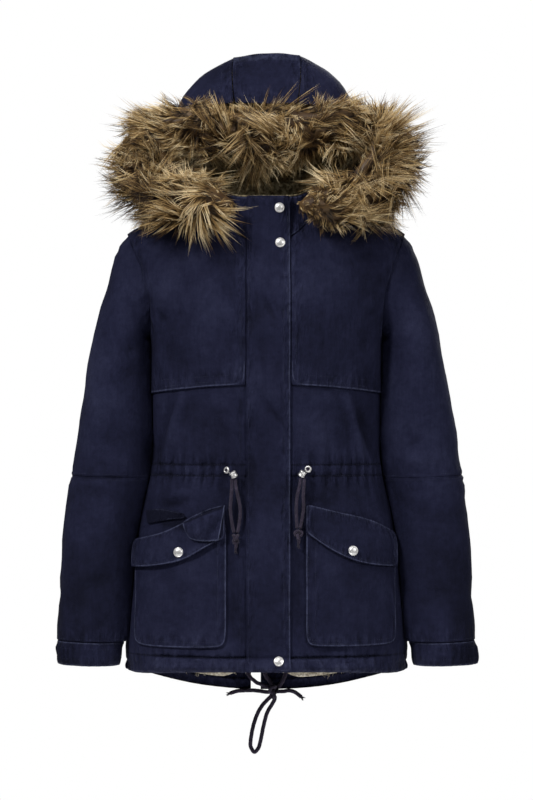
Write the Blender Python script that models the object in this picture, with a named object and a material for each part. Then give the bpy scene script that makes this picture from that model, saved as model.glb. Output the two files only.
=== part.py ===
"""A fur trimmed parka, filled out as if worn: shell, hood, fur, pockets, snaps and drawcords.

Metres, +Z up. The front faces -Y and the wearer's left is +X. The origin is on the centre
plane at the height of the neck and shoulders, where the wearer carries the coat.
"""
import math
from collections import namedtuple

import bmesh
import bpy
from mathutils import Vector

# ---------------------------------------------------------------- driving sizes
SHELL = 0.003            # shell cloth with what backs it
TRIM = 0.0022            # yokes, placket, pockets and flaps
SEAM = 0.0004            # two cut edges that meet at a seam
LIE = 0.0009             # a piece that lies on another, at its nearest

NECK_HALF_WIDTH = 0.078
NECK_FRONT = -0.050      # height of the neck seam at the centre front
NECK_SIDE = 0.010
NECK_BACK = 0.018
COLLAR_TOP_FRONT = 0.017
COLLAR_TOP_SIDE = 0.040
COLLAR_TOP_BACK = 0.048

COLLAR_LEAN = 0.93       # its top ring against its neck seam

SHOULDER_HEIGHT = -0.034
ARMPIT_HEIGHT = -0.190
ARMHOLE_FRONT = 0.058    # how far the armhole reaches forward and back of the side
ARMHOLE_BACK = 0.064

YOKE_CENTRE = -0.2545    # height of the yoke's free edge
YOKE_SIDE = -0.2670
YOKE_GAP = 0.0012        # from the placket
YOKE_INSET = 0.004       # from the shoulder and armhole seams
WAIST = -0.378
HEM_FRONT_CENTRE = -0.664
HEM_SIDE = -0.673
HEM_BACK_CENTRE = -0.7145
HEM_ROLL = 0.014         # height of the gathered hem casing
HEM_PUCKER = 0.0012
VENT_LEFT = -0.006       # the edges of the two back tails at the vent
VENT_RIGHT = -0.026
VENT_TOP = -0.650

PLACKET_RIGHT = -0.0286
PLACKET_LEFT = 0.0343

SNAP_RADIUS = 0.0072
CORD = 0.0045            # waist drawcord
HEM_CORD = 0.0058

SQUARE = 0.85            # 1 is an ellipse, less is squarer
FRONT_COLUMNS = 15
BACK_COLUMNS = 10
ARMHOLE_ROWS = 8         # rows from the armpit to the shoulder, half the sides of a sleeve
NECK_SHARE = {"front": 7 / FRONT_COLUMNS, "back": 0.4}    # of a panel's top edge
GATHERS_FROM = {"front": 3, "back": 2}    # the first column that the casings gather

STRIP = 0.004            # fleece and the body's lining
CUFF_GATHER = 0.0012

# The torso's level sections: half width, and depth of the front and of the back.
Section = namedtuple("Section", "height half_width front back")
TORSO = [
    Section(+0.030, 0.064, 0.066, 0.072),
    Section(+0.018, 0.070, 0.070, 0.076),
    Section(+0.010, 0.079, 0.073, 0.079),
    Section(+0.000, 0.115, 0.077, 0.083),
    Section(-0.010, 0.152, 0.081, 0.087),
    Section(-0.020, 0.178, 0.085, 0.091),
    Section(-0.034, 0.200, 0.090, 0.097),
    Section(-0.060, 0.206, 0.099, 0.107),
    Section(-0.085, 0.199, 0.106, 0.114),
    Section(-0.112, 0.190, 0.112, 0.119),
    Section(-0.140, 0.181, 0.118, 0.123),
    Section(-0.165, 0.174, 0.122, 0.125),
    Section(-0.190, 0.168, 0.124, 0.125),
    Section(-0.225, 0.166, 0.124, 0.122),
    Section(-0.267, 0.168, 0.122, 0.118),
    Section(-0.316, 0.170, 0.119, 0.113),
    Section(-0.378, 0.172, 0.117, 0.110),
    Section(-0.420, 0.183, 0.121, 0.115),
    Section(-0.469, 0.1925, 0.128, 0.123),
    Section(-0.554, 0.2010, 0.137, 0.135),
    Section(-0.616, 0.2055, 0.143, 0.143),
    Section(-0.660, 0.2050, 0.145, 0.147),
    Section(-0.720, 0.2040, 0.146, 0.150),
]

# Rows of the body below the armpit, and how deep its gathers are there.
Row = namedtuple("Row", "height gather")
BODY_ROWS = [
    Row(-0.230, 0.0),
    Row(-0.270, 0.0),
    Row(-0.308, 0.0),
    Row(-0.342, 0.0008),
    Row(-0.366, 0.0022),
    Row(WAIST, 0.0010),
    Row(-0.391, 0.0022),
    Row(-0.415, 0.0008),
    Row(-0.450, 0.0),
    Row(-0.500, 0.0),
    Row(-0.550, 0.0),
    Row(-0.600, 0.0),
    Row(-0.636, 0.0),
]

# Soft folds in the body: where each starts and ends, its half width and its depth.
# Angles run from the centre front (0) by the wearer's left side (90) to the back (180).
Fold = namedtuple("Fold", "angle height end_angle end_height half_width depth")
BODY_FOLDS = [
    Fold(36, -0.270, 56, -0.345, 0.016, 0.0050),
    Fold(54, -0.285, 72, -0.350, 0.014, 0.0040),
    Fold(-34, -0.272, -56, -0.345, 0.016, 0.0050),
    Fold(-52, -0.290, -70, -0.355, 0.014, 0.0040),
    Fold(112, -0.250, 140, -0.350, 0.018, 0.0045),
    Fold(-118, -0.255, -142, -0.345, 0.018, 0.0045),
    Fold(150, -0.420, 142, -0.560, 0.020, 0.0045),
    Fold(-140, -0.430, -150, -0.580, 0.020, 0.0045),
]

# A sleeve by its rings: the outer and inner line of the arm, its half depth and lean.
Ring = namedtuple("Ring", "out_x out_z in_x in_z half_depth lean")
SLEEVE = [
    Ring(0.2190, -0.0570, 0.1722, -0.1990, 0.0615, 0.003),
    Ring(0.2315, -0.0930, 0.1734, -0.2120, 0.0625, -0.001),
    Ring(0.2435, -0.1380, 0.1704, -0.2340, 0.0625, -0.007),
    Ring(0.2555, -0.1930, 0.1716, -0.2640, 0.0620, -0.015),
    Ring(0.2675, -0.2550, 0.1689, -0.3030, 0.0605, -0.020),
    Ring(0.2785, -0.3240, 0.1695, -0.3450, 0.0590, -0.023),
    Ring(0.2868, -0.3855, 0.1742, -0.3900, 0.0580, -0.026),
    Ring(0.2945, -0.4280, 0.1832, -0.4330, 0.0560, -0.029),
    Ring(0.3000, -0.4800, 0.1929, -0.4830, 0.0545, -0.032),
    Ring(0.3045, -0.5350, 0.1980, -0.5370, 0.0525, -0.034),
    Ring(0.3080, -0.5900, 0.2023, -0.5920, 0.0505, -0.036),
    Ring(0.3095, -0.6240, 0.2056, -0.6270, 0.0485, -0.037),
]
ELBOW_RING = 7           # counted from the armhole
CUFF = [
    Ring(0.3080, -0.6250, 0.2110, -0.6280, 0.0470, -0.037),
    Ring(0.3112, -0.6330, 0.2100, -0.6360, 0.0490, -0.037),
    Ring(0.3118, -0.6520, 0.2110, -0.6540, 0.0480, -0.038),
    Ring(0.3085, -0.6600, 0.2140, -0.6620, 0.0440, -0.038),
]
# Folds in a sleeve: ring place, angle round the arm (0 outer line, 90 front), size.
ArmFold = namedtuple("ArmFold", "ring angle reach depth")
ARM_FOLDS = [
    ArmFold(6.2, 110, 75, 0.0040),
    ArmFold(8.6, 150, 70, 0.0035),
    ArmFold(3.5, 140, 60, 0.0035),
    ArmFold(7.4, -120, 70, 0.0035),
]

# The fur: the middle of the tube from its front end to the centre of the hood.
Tuft = namedtuple("Tuft", "x y z radius")
FUR = [
    Tuft(0.047, -0.118, 0.002, 0.010),
    Tuft(0.053, -0.118, 0.002, 0.029),
    Tuft(0.078, -0.116, 0.003, 0.043),
    Tuft(0.117, -0.104, 0.011, 0.054),
    Tuft(0.158, -0.080, 0.028, 0.052),
    Tuft(0.186, -0.050, 0.068, 0.049),
    Tuft(0.168, -0.036, 0.112, 0.047),
    Tuft(0.116, -0.051, 0.124, 0.046),
    Tuft(0.060, -0.060, 0.115, 0.053),
    Tuft(0.000, -0.063, 0.109, 0.057),
]
FUR_RINGS = 17           # from the front end to the centre
FUR_SIDES = 12
FUR_SWELL = 0.03         # how unevenly the hairs stand along it
FUR_CLEAR = 0.0075       # from the coat that it lies on
COLLAR_WIDE = 0.088      # the clearing in the fur that the collar stands in
COLLAR_DEEP = 0.101
COLLAR_TALL = 0.045

# The hood's outside is a rounded box about its middle; its seams are drawn on it.
HOOD_MIDDLE = Vector((0.0, 0.030, 0.090))
HOOD_SIDE = 0.150
HOOD_UP = 0.150
HOOD_DOWN = 0.091
HOOD_FRONT = 0.056
HOOD_BACK = 0.130
HOOD_POWER = 2.3
HOOD_SEAM = 0.0007        # each side of the crown's seams, where the cloth bends most
LINING_SHORT = 0.011      # how far the hood's lining ends inside its edges
HOOD_FACE_DEPTH = -0.012  # behind this the hood's cloth stands
Place = namedtuple("Place", "x y z")
FACE_GAP = 0.008         # from the fur's skin to the edge of the hood behind it
# The hood's face edge, by its place along the fur and the way it lies from the fur's middle.
Behind = namedtuple("Behind", "share x y z")
HOOD_FACE = [
    Behind(0.030, 0.00, 0.90, 0.43),
    Behind(0.085, -0.05, 0.85, 0.50),
    Behind(0.180, -0.05, 0.80, 0.60),
    Behind(0.310, -0.30, 0.75, 0.59),
    Behind(0.440, -0.75, 0.66, 0.08),
    Behind(0.570, -0.55, 0.82, 0.16),
    Behind(0.700, -0.10, 0.85, 0.50),
    Behind(0.820, 0.00, 0.74, 0.67),
    Behind(0.885, 0.00, 0.70, 0.71),
]
HOOD_NECK = [
    Place(0.086, -0.050, 0.013),
    Place(0.090, 0.000, 0.013),
    Place(0.084, 0.045, 0.014),
    Place(0.066, 0.078, 0.016),
    Place(0.038, 0.096, 0.018),
]
HOOD_NAPE = [
    Place(0.038, 0.096, 0.018),
    Place(0.046, 0.125, 0.060),
    Place(0.047, 0.150, 0.100),
    Place(0.047, 0.148, 0.150),
]
HOOD_CROWN = [
    Place(0.047, 0.020, 0.225),
    Place(0.047, 0.060, 0.240),
    Place(0.047, 0.110, 0.215),
    Place(0.047, 0.148, 0.150),
]

Colour = namedtuple("Colour", "red green blue roughness metallic")
FINISHES = {
    "navy_twill": Colour(0.014, 0.016, 0.040, 0.85, 0.0),
    "fur": Colour(0.35, 0.24, 0.12, 0.90, 0.0),
    "cream_fleece": Colour(0.55, 0.48, 0.34, 0.95, 0.0),
    "olive_fleece": Colour(0.10, 0.09, 0.05, 0.95, 0.0),
    "silver_snap": Colour(0.80, 0.80, 0.82, 0.25, 1.0),
    "dark_cord": Colour(0.022, 0.018, 0.034, 0.80, 0.0),
}


# ---------------------------------------------------------------- curves and tables
def smooth_read(places, values, at):
    """Reads a smooth curve through values given at rising places."""
    at = min(max(at, places[0]), places[-1])
    i = 0
    while i < len(places) - 2 and places[i + 1] < at:
        i += 1

    def slope(j):
        low, high = max(j - 1, 0), min(j + 1, len(places) - 1)
        return (values[high] - values[low]) / (places[high] - places[low])

    span = places[i + 1] - places[i]
    t = (at - places[i]) / span
    rise, fall = t * t * (3 - 2 * t), 1 - t * t * (3 - 2 * t)
    bend = slope(i) * (t * (1 - t) ** 2) - slope(i + 1) * (t * t * (1 - t))
    return values[i] * fall + values[i + 1] * rise + bend * span


def column_reader(rows, key, column):
    """A function that reads one column of a table at any value of its key."""
    ordered = sorted(rows, key=lambda row: getattr(row, key))
    places = [getattr(row, key) for row in ordered]
    values = [getattr(row, column) for row in ordered]
    return lambda at: smooth_read(places, values, at)


def curve_through(points):
    """A smooth curve through points, read from 0 to 1 by length along them."""
    points = [Vector(p) for p in points]
    places = [0.0]
    for before, after in zip(points, points[1:]):
        places.append(places[-1] + (after - before).length)
    total = places[-1]

    def read(t):
        return Vector(smooth_read(places, [p[i] for p in points], t * total) for i in range(3))

    return read


def ease(t):
    t = min(max(t, 0.0), 1.0)
    return t * t * (3 - 2 * t)


half_width_at = column_reader(TORSO, "height", "half_width")
front_depth_at = column_reader(TORSO, "height", "front")
back_depth_at = column_reader(TORSO, "height", "back")


# ---------------------------------------------------------------- the torso's form
def fold_shift(angle, height):
    """How far the body's soft folds draw the cloth in at a place."""
    shift = 0.0
    for fold in BODY_FOLDS:
        metres_per_degree = 0.0026
        start = Vector((fold.angle * metres_per_degree, fold.height))
        end = Vector((fold.end_angle * metres_per_degree, fold.end_height))
        place = Vector((angle * metres_per_degree, height))
        along = (place - start).dot(end - start) / (end - start).length_squared
        near = start + (end - start) * min(max(along, 0.0), 1.0)
        away = (place - near).length / fold.half_width
        shift += fold.depth * math.exp(-away * away)
    return shift


def torso_smooth(angle, height):
    """A point of the body's outside before its folds. Angle 0 is the centre front."""
    across, forward = math.sin(math.radians(angle)), math.cos(math.radians(angle))
    depth = front_depth_at(height) if forward > 0 else back_depth_at(height)
    x = half_width_at(height) * math.copysign(abs(across) ** SQUARE, across)
    y = -depth * math.copysign(abs(forward) ** SQUARE, forward)
    return Vector((x, y, height))


def torso_outward(angle, height):
    round_step, up_step = 1.5, 0.003
    around = torso_smooth(angle + round_step, height) - torso_smooth(angle - round_step, height)
    upward = torso_smooth(angle, height + up_step) - torso_smooth(angle, height - up_step)
    return around.cross(upward).normalized()


def torso(angle, height, lift=0.0):
    """A point of the body's outside, or of what lies on it at a lift."""
    out = torso_outward(angle, height)
    return torso_smooth(angle, height) + out * (lift - fold_shift(angle, height))


def front_angle(x, height):
    """The angle at which the front has this x."""
    share = min(abs(x) / half_width_at(height), 1.0)
    return math.copysign(math.degrees(math.asin(share ** (1 / SQUARE))), x)


def on_front(x, height, lift):
    return torso(front_angle(x, height), height, lift)


def hem_height(angle):
    """The hem dips a little at the centre front and hangs as a tail at the back."""
    turn = abs(angle)
    if turn <= 90:
        return HEM_SIDE + (HEM_FRONT_CENTRE - HEM_SIDE) * math.cos(math.radians(turn)) ** 2
    return HEM_SIDE + (HEM_BACK_CENTRE - HEM_SIDE) * math.cos(math.radians(turn)) ** 2


# ---------------------------------------------------------------- making solids
def finish(name):
    if name in bpy.data.materials:
        return bpy.data.materials[name]
    look = FINISHES[name]
    material = bpy.data.materials.new(name)
    material.use_nodes = True
    shader = material.node_tree.nodes["Principled BSDF"]
    shader.inputs["Base Color"].default_value = (look.red, look.green, look.blue, 1.0)
    shader.inputs["Roughness"].default_value = look.roughness
    shader.inputs["Metallic"].default_value = look.metallic
    material.diffuse_color = (look.red, look.green, look.blue, 1.0)
    return material


def add_object(name, bm, finish_name):
    """Turns a finished bmesh into a named object with faces pointing out."""
    bmesh.ops.recalc_face_normals(bm, faces=bm.faces)
    mesh = bpy.data.meshes.new(name)
    bm.to_mesh(mesh)
    bm.free()
    mesh.materials.append(finish(finish_name))
    mesh.shade_smooth()
    mesh.set_sharp_from_angle(angle=math.radians(50))
    piece = bpy.data.objects.new(name, mesh)
    bpy.context.scene.collection.objects.link(piece)
    return piece


def sheet_of(points, closed):
    """A bmesh grid through rows of points; a closed one joins its last column to its first."""
    rows = [list(row) + ([row[0]] if closed else []) for row in points]
    bm = bmesh.new()
    bmesh.ops.create_grid(bm, x_segments=len(rows[0]) - 1, y_segments=len(rows) - 1, size=1.0)
    bm.verts.ensure_lookup_table()
    flat = [point for row in rows for point in row]
    order = bm.verts.layers.int.new("order")
    for vert, point in zip(bm.verts, flat):
        vert.co = point
        vert[order] = vert.index
    if closed:
        bmesh.ops.remove_doubles(bm, verts=bm.verts, dist=1e-6)
    return bm, order, len(rows[0])


def cloth(name, points, inward, wall, finish_name="navy_twill", closed=False):
    """A cloth wall: a grid of outer points, given its thickness along the inward ways."""
    bm, order, wide = sheet_of(points, closed)
    ways = [list(row) + ([row[0]] if closed else []) for row in inward]
    skin = bmesh.ops.extrude_face_region(bm, geom=bm.faces[:], use_keep_orig=True)
    for vert in [v for v in skin["geom"] if isinstance(v, bmesh.types.BMVert)]:
        row, column = divmod(vert[order], wide)
        vert.co += ways[row][column] * wall
    return add_object(name, bm, finish_name)


def filled_tube(name, rings, finish_name):
    """A solid through closed rings, with its two ends filled."""
    bm = sheet_of(rings, closed=True)[0]
    ends = [edge for edge in bm.edges if edge.is_boundary]
    bmesh.ops.holes_fill(bm, edges=ends, sides=len(rings[0]))
    return add_object(name, bm, finish_name)


def inward_ways(points, closed=False):
    """The way into the cloth at each point, square to its grid."""
    rows, wide = len(points), len(points[0])

    def at(row, column):
        if closed:
            return points[min(max(row, 0), rows - 1)][column % wide]
        return points[min(max(row, 0), rows - 1)][min(max(column, 0), wide - 1)]

    ways = []
    for r in range(rows):
        ways.append([])
        for c in range(wide):
            around = at(r, c + 1) - at(r, c - 1)
            upward = at(r + 1, c) - at(r - 1, c)
            ways[-1].append(upward.cross(around).normalized())
    return ways


def draw_back(points, rows=(), columns=(), by=SEAM / 2):
    """Draws the cut edges of a grid back from its seams."""
    drawn = [[Vector(p) for p in row] for row in points]
    last_row, last_column = len(points) - 1, len(points[0]) - 1
    for r in rows:
        edge, inner = (0, 1) if r == 0 else (last_row, last_row - 1)
        for c in range(last_column + 1):
            step = (points[inner][c] - points[edge][c]).normalized()
            drawn[edge][c] += step * by
    for c in columns:
        edge, inner = (0, 1) if c == 0 else (last_column, last_column - 1)
        for r in range(last_row + 1):
            step = (points[r][inner] - points[r][edge]).normalized()
            drawn[r][edge] += step * by
    return drawn


# ---------------------------------------------------------------- fronts and backs
def neck_place(turn):
    """Angle and height of the neck seam; turn 0 is the centre front, 180 the back."""
    x = NECK_HALF_WIDTH * math.sin(math.radians(turn))
    share = abs(x) / NECK_HALF_WIDTH
    if turn <= 90:
        height = NECK_FRONT + (NECK_SIDE - NECK_FRONT) * share ** 2.6
    else:
        height = NECK_BACK + (NECK_SIDE - NECK_BACK) * share ** 2
    angle = front_angle(x, height) if turn < 89.9 else 90.0
    if turn > 90.1:
        angle = 180 - front_angle(x, height)
    return angle, height


def armhole_place(share, side):
    """Angle and height of the armhole seam; share 0 is the armpit, 1 the shoulder."""
    middle = (SHOULDER_HEIGHT + ARMPIT_HEIGHT) / 2
    half = (SHOULDER_HEIGHT - ARMPIT_HEIGHT) / 2
    height = middle - half * math.cos(math.pi * share)
    reach, depth = ARMHOLE_FRONT, front_depth_at(height)
    if side == "back":
        reach, depth = ARMHOLE_BACK, back_depth_at(height)
    off = reach * math.sin(math.pi * share) / depth
    turn = math.degrees(math.acos(min(off, 1.0) ** (1 / SQUARE)))
    return (turn if side == "front" else 180 - turn), height


def upper_place(across, up, side):
    """Angle and height inside the panel above the armpit, between its four edges."""
    centre = 0.0 if side == "front" else 180.0
    neck_share = NECK_SHARE[side]

    def low(u):
        return centre + (90 - centre) * u, ARMPIT_HEIGHT

    def top(u):
        if u <= neck_share:
            turn = 90 * u / neck_share
            return neck_place(turn if side == "front" else 180 - turn)
        t = (u - neck_share) / (1 - neck_share)
        return 90.0, NECK_SIDE + (SHOULDER_HEIGHT - NECK_SIDE) * t

    def centre_edge(t):
        end = NECK_FRONT if side == "front" else NECK_BACK
        return centre, ARMPIT_HEIGHT + (end - ARMPIT_HEIGHT) * t

    place = []
    for i in range(2):
        edges = (1 - up) * low(across)[i] + up * top(across)[i]
        edges += (1 - across) * centre_edge(up)[i] + across * armhole_place(up, side)[i]
        corners = (1 - across) * ((1 - up) * low(0)[i] + up * top(0)[i])
        corners += across * ((1 - up) * low(1)[i] + up * top(1)[i])
        place.append(edges - corners)
    return place


def hem_rows(angle):
    """Heights and outward shifts of the hem casing: a stitched row, a roll and its edge."""
    low = hem_height(angle)
    puff = ease((abs(angle) - 8) / 10)
    return [
        (low + HEM_ROLL + 0.001, -0.0012 * puff),
        (low + HEM_ROLL * 0.55, 0.0026 * puff),
        (low + HEM_ROLL * 0.15, 0.0012 * puff),
        (low, -0.0045 * puff),
    ]


def body_grid(side, columns):
    """Rows of (point, inward way) of a left panel, from the hem to its top."""
    centre = 0.0 if side == "front" else 180.0
    first_gather, lowest = GATHERS_FROM[side], BODY_ROWS[-1].height
    points, ways = [], []

    def add_row(places):
        points.append([])
        ways.append([])
        for c, (angle, height, shift) in enumerate(places):
            out = torso_outward(angle, height)
            points[-1].append(torso(angle, height, shift))
            ways[-1].append(-out)

    angles = [centre + (90 - centre) * c / columns for c in range(columns + 1)]
    for r in range(3, -1, -1):
        row = []
        for c, angle in enumerate(angles):
            height, shift = hem_rows(angle)[r]
            pucker = HEM_PUCKER * (-1) ** c if first_gather <= c < columns else 0.0
            row.append((angle, height, shift + pucker))
        add_row(row)
    for level in reversed(BODY_ROWS):
        row = []
        for c, angle in enumerate(angles):
            hang = ease((WAIST - level.height) / (WAIST - lowest))
            dip = (hem_height(angle) - HEM_SIDE) * hang
            gather = level.gather * (-1) ** c if first_gather <= c < columns else 0.0
            row.append((angle, level.height + dip, gather))
        add_row(row)
    for r in range(ARMHOLE_ROWS + 1):
        places = [upper_place(c / columns, r / ARMHOLE_ROWS, side) for c in range(columns + 1)]
        add_row([(angle, height, 0.0) for angle, height in places])
    return points, ways


def armhole_middle():
    height = (SHOULDER_HEIGHT + ARMPIT_HEIGHT) / 2
    return Vector((0.183, 0.002, height))


def to_armhole(points, ways):
    """The same ways, but towards the middle of the armhole along its edge."""
    turned_ways = [list(row) for row in ways]
    for r in range(len(points) - 1 - ARMHOLE_ROWS, len(points)):
        turned_ways[r][-1] = (armhole_middle() - points[r][-1]).normalized()
    return turned_ways


def mirrored(points):
    return [[Vector((-p.x, p.y, p.z)) for p in row] for row in points]


def make_body():
    for side, columns in (("front", FRONT_COLUMNS), ("back", BACK_COLUMNS)):
        points, ways = body_grid(side, columns)
        ways = to_armhole(points, ways)
        cut = draw_back(points, columns=(0, columns))
        cut = draw_back(cut, rows=(1,))
        cloth(side + "_left", open_vent(cut, side, VENT_LEFT), ways, SHELL)
        cloth(side + "_right", mirrored(open_vent(cut, side, -VENT_RIGHT)), mirrored(ways), SHELL)


def make_back_inside():
    """The facing and the fleece lining that show inside the back tails."""
    points, ways = body_grid("back", BACK_COLUMNS)
    points = draw_back(points, columns=(0, BACK_COLUMNS), by=0.004)
    for side, edge in (("left", VENT_LEFT), ("right", -VENT_RIGHT)):
        outer = open_vent(points, "back", edge + 0.002)
        inner = [[p + w * (SHELL + LIE) for p, w in zip(*pair)] for pair in zip(outer, ways)]
        facing, lining = inner[1:4], draw_back(inner[3:10], rows=(0,), by=0.0015)
        for name, rows, way, wall, look in (
            ("back_hem_facing_", facing, ways[1:4], TRIM, "navy_twill"),
            ("back_lining_", lining, ways[3:10], STRIP, "cream_fleece"),
        ):
            if side == "right":
                rows, way = mirrored(rows), mirrored(way)
            cloth(name + side, rows, way, wall, look)


def open_vent(points, side, edge):
    """Parts the two back tails below the vent's top, up to an edge."""
    opened = [[Vector(p) for p in row] for row in points]
    if side == "back":
        for row in opened:
            row[0].x += (edge - row[0].x) * ease((VENT_TOP - row[0].z) / 0.03)
    return opened


# ---------------------------------------------------------------- sleeves and cuffs
def ring_points(ring, sides):
    outer = Vector((ring.out_x, 0, ring.out_z))
    inner = Vector((ring.in_x, 0, ring.in_z))
    middle, half = (outer + inner) / 2, (outer - inner) / 2
    points = []
    for s in range(sides):
        turn = 2 * math.pi * s / sides
        along, aside = math.cos(turn), math.sin(turn)
        point = middle + half * math.copysign(abs(along) ** 0.92, along)
        point.y = ring.lean - ring.half_depth * math.copysign(abs(aside) ** 0.92, aside)
        points.append(point)
    return points


def sleeve_grid():
    """Rings of a left sleeve, the first along the armhole, the rest down the arm."""
    sides = 2 * ARMHOLE_ROWS
    first = []
    for s in range(sides):
        share = abs(1 - s / ARMHOLE_ROWS)
        side = "front" if s <= ARMHOLE_ROWS else "back"
        angle, height = armhole_place(share, side)
        first.append(torso(angle, height) + Vector((SEAM, 0, 0)))
    rings = [first] + [ring_points(ring, sides) for ring in SLEEVE]
    for r, ring in enumerate(rings[1:], start=1):
        middle = sum(ring, Vector()) / sides
        for s in range(sides):
            turn = (360 * s / sides + 180) % 360 - 180
            shift = 0.0
            for fold in ARM_FOLDS:
                along = (r - fold.ring) / 0.9
                around = ((turn - fold.angle + 180) % 360 - 180) / fold.reach
                shift += fold.depth * math.exp(-along * along - 2 * around * around)
            ring[s] = ring[s] + (middle - ring[s]).normalized() * shift
    return rings


def make_sleeves():
    rings = sleeve_grid()
    ways = inward_ways(rings, closed=True)
    middle = armhole_middle()
    ways[0] = [(middle - p).normalized() for p in rings[0]]
    cuff = [ring_points(ring, len(rings[0])) for ring in CUFF]
    for r, ring in enumerate(cuff):
        centre = sum(ring, Vector()) / len(ring)
        gather = CUFF_GATHER * (0.7 if r == 0 else 1.0)
        cuff[r] = [p + (p - centre).normalized() * gather * (-1) ** s for s, p in enumerate(ring)]
    cuff_ways = inward_ways(cuff, closed=True)
    upper = draw_back(rings[: ELBOW_RING + 1], rows=(0, 1))
    lower = draw_back(rings[ELBOW_RING:], rows=(0, 1))
    for name, part, way in (
        ("sleeve_upper", upper, ways[: ELBOW_RING + 1]),
        ("sleeve_lower", lower, ways[ELBOW_RING:]),
        ("cuff", cuff, cuff_ways),
    ):
        cloth(name + "_left", part, way, SHELL, closed=True)
        cloth(name + "_right", mirrored(part), mirrored(way), SHELL, closed=True)


# ---------------------------------------------------------------- collar, placket, yokes
def collar_point(turn, up, lift=0.0):
    """The collar's outside; turn runs from the centre front round the left to the back."""
    way = abs(turn)
    angle, height = neck_place(way)
    base = torso(math.copysign(angle, turn), height)
    if way <= 90:
        top_height = COLLAR_TOP_FRONT + (COLLAR_TOP_SIDE - COLLAR_TOP_FRONT) * ease((way - 35) / 55)
    else:
        top_height = COLLAR_TOP_SIDE + (COLLAR_TOP_BACK - COLLAR_TOP_SIDE) * ease((way - 90) / 90)
    top = Vector((base.x * COLLAR_LEAN, base.y * COLLAR_LEAN, top_height))
    out = Vector((base.x, base.y, 0.0)).normalized()
    return base.lerp(top, up) + out * lift, -out


def make_collar():
    columns = 24
    points, ways = [], []
    for up in (0.01, 0.5, 1.0):
        ring = [collar_point(-180 + 360 * c / columns, up) for c in range(columns)]
        seam = Vector((0, 0, SEAM if up < 0.1 else 0))
        points.append([place + seam for place, way in ring])
        ways.append([way for place, way in ring])
    cloth("collar", points, ways, SHELL, closed=True)


def between(grid, row, x):
    """The place in a row of the front's grid that has this x, and how far along it lies."""
    c = 0
    while c < len(grid[row]) - 2 and grid[row][c + 1].x < x:
        c += 1
    left, right = grid[row][c], grid[row][c + 1]
    share = (x - left.x) / (right.x - left.x)
    return c, share


def lifted_at(grid, ways, row, x, lift):
    c, share = between(grid, row, x)
    point = grid[row][c].lerp(grid[row][c + 1], share)
    return point - ways[row][c].lerp(ways[row][c + 1], share).normalized() * lift


def make_placket():
    """The fly over the zip: it lies on the fronts and then on the collar."""
    grid, front_ways = body_grid("front", FRONT_COLUMNS)
    xs = [PLACKET_RIGHT, PLACKET_RIGHT / 2, 0.0, PLACKET_LEFT / 2, PLACKET_LEFT]
    points = []
    for row in range(1, len(grid)):
        points.append([])
        for x in xs:
            point = lifted_at(grid, front_ways, row, abs(x), LIE + TRIM)
            points[-1].append(Vector((math.copysign(point.x, x), point.y, point.z)))
    seam = points[-1]
    for up in (0.35, 0.7, 1.0):
        points.append([])
        for x, low in zip(xs, seam):
            turn = math.degrees(math.asin(abs(x) / NECK_HALF_WIDTH))
            on_collar = collar_point(turn, up, LIE + TRIM)[0]
            height = low.z + (COLLAR_TOP_FRONT + 0.001 - low.z) * up
            points[-1].append(Vector((x, min(on_collar.y, low.y + 0.002), height)))
    ways = [[Vector((0, 1, 0)) for _ in xs] for _ in points]
    cloth("placket", points, ways, TRIM)


def yoke_height(x):
    return YOKE_CENTRE + (YOKE_SIDE - YOKE_CENTRE) * (abs(x) / half_width_at(YOKE_SIDE)) ** 2


def make_yokes():
    """Storm yokes: a second layer on the chest with a free lower edge."""
    grid, ways = body_grid("front", FRONT_COLUMNS)
    first = len(grid) - ARMHOLE_ROWS - 2
    for name, placket_edge in (("left", PLACKET_LEFT), ("right", -PLACKET_RIGHT)):
        edge = placket_edge + YOKE_GAP
        points, inward = [], []
        for row in range(first, len(grid)):
            start = between(grid, row, edge)[0] + 1
            on_edge = lifted_at(grid, ways, row, edge, LIE + TRIM)
            rest = range(start, len(grid[row])) if start >= 2 else range(2, len(grid[row]))
            lifted = [grid[row][c] - ways[row][c] * (LIE + TRIM) for c in rest]
            points.append([on_edge] + lifted)
            inward.append([ways[row][start]] + [ways[row][c] for c in rest])
        wide = min(len(row) for row in points)
        points = [[row[0]] + row[len(row) - wide + 1:] for row in points]
        inward = [[row[0]] + row[len(row) - wide + 1:] for row in inward]
        last_places, last_ways = grid[first - 1][1 - wide:], ways[first - 1][1 - wide:]
        below = [p - w * (LIE + TRIM) for p, w in zip(last_places, last_ways)]
        below.insert(0, lifted_at(grid, ways, first - 1, edge, LIE + TRIM))
        low_row = []
        for top, bottom in zip(points[0], below):
            share = (top.z - yoke_height(top.x)) / (top.z - bottom.z)
            low_row.append(top.lerp(bottom, share))
        points.insert(0, low_row)
        inward.insert(0, inward[0])
        points = draw_back(points, rows=(1,), by=YOKE_INSET)
        points = draw_back(points, columns=(wide - 1,), by=YOKE_INSET)
        for row in points:
            near_armpit = math.exp(-((row[-1].z - ARMPIT_HEIGHT) / 0.035) ** 2)
            row[-1] += (row[-2] - row[-1]).normalized() * 3 * YOKE_INSET * near_armpit
        if name == "right":
            points, inward = mirrored(points), mirrored(inward)
        cloth("yoke_" + name, points, inward, TRIM)


# ---------------------------------------------------------------- hood and fur
def on_hood(point, margin=0.0):
    """Puts a point on the hood's form, or a margin outside it, seen from its middle."""
    way = Vector(point) - HOOD_MIDDLE
    depth = HOOD_BACK if way.y > 0 else HOOD_FRONT
    tall = HOOD_UP if way.z > 0 else HOOD_DOWN
    total = (abs(way.x) / HOOD_SIDE) ** HOOD_POWER
    total += (abs(way.y) / depth) ** HOOD_POWER + (abs(way.z) / tall) ** HOOD_POWER
    place = way / total ** (1 / HOOD_POWER)
    return HOOD_MIDDLE + place + place.normalized() * margin


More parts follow.
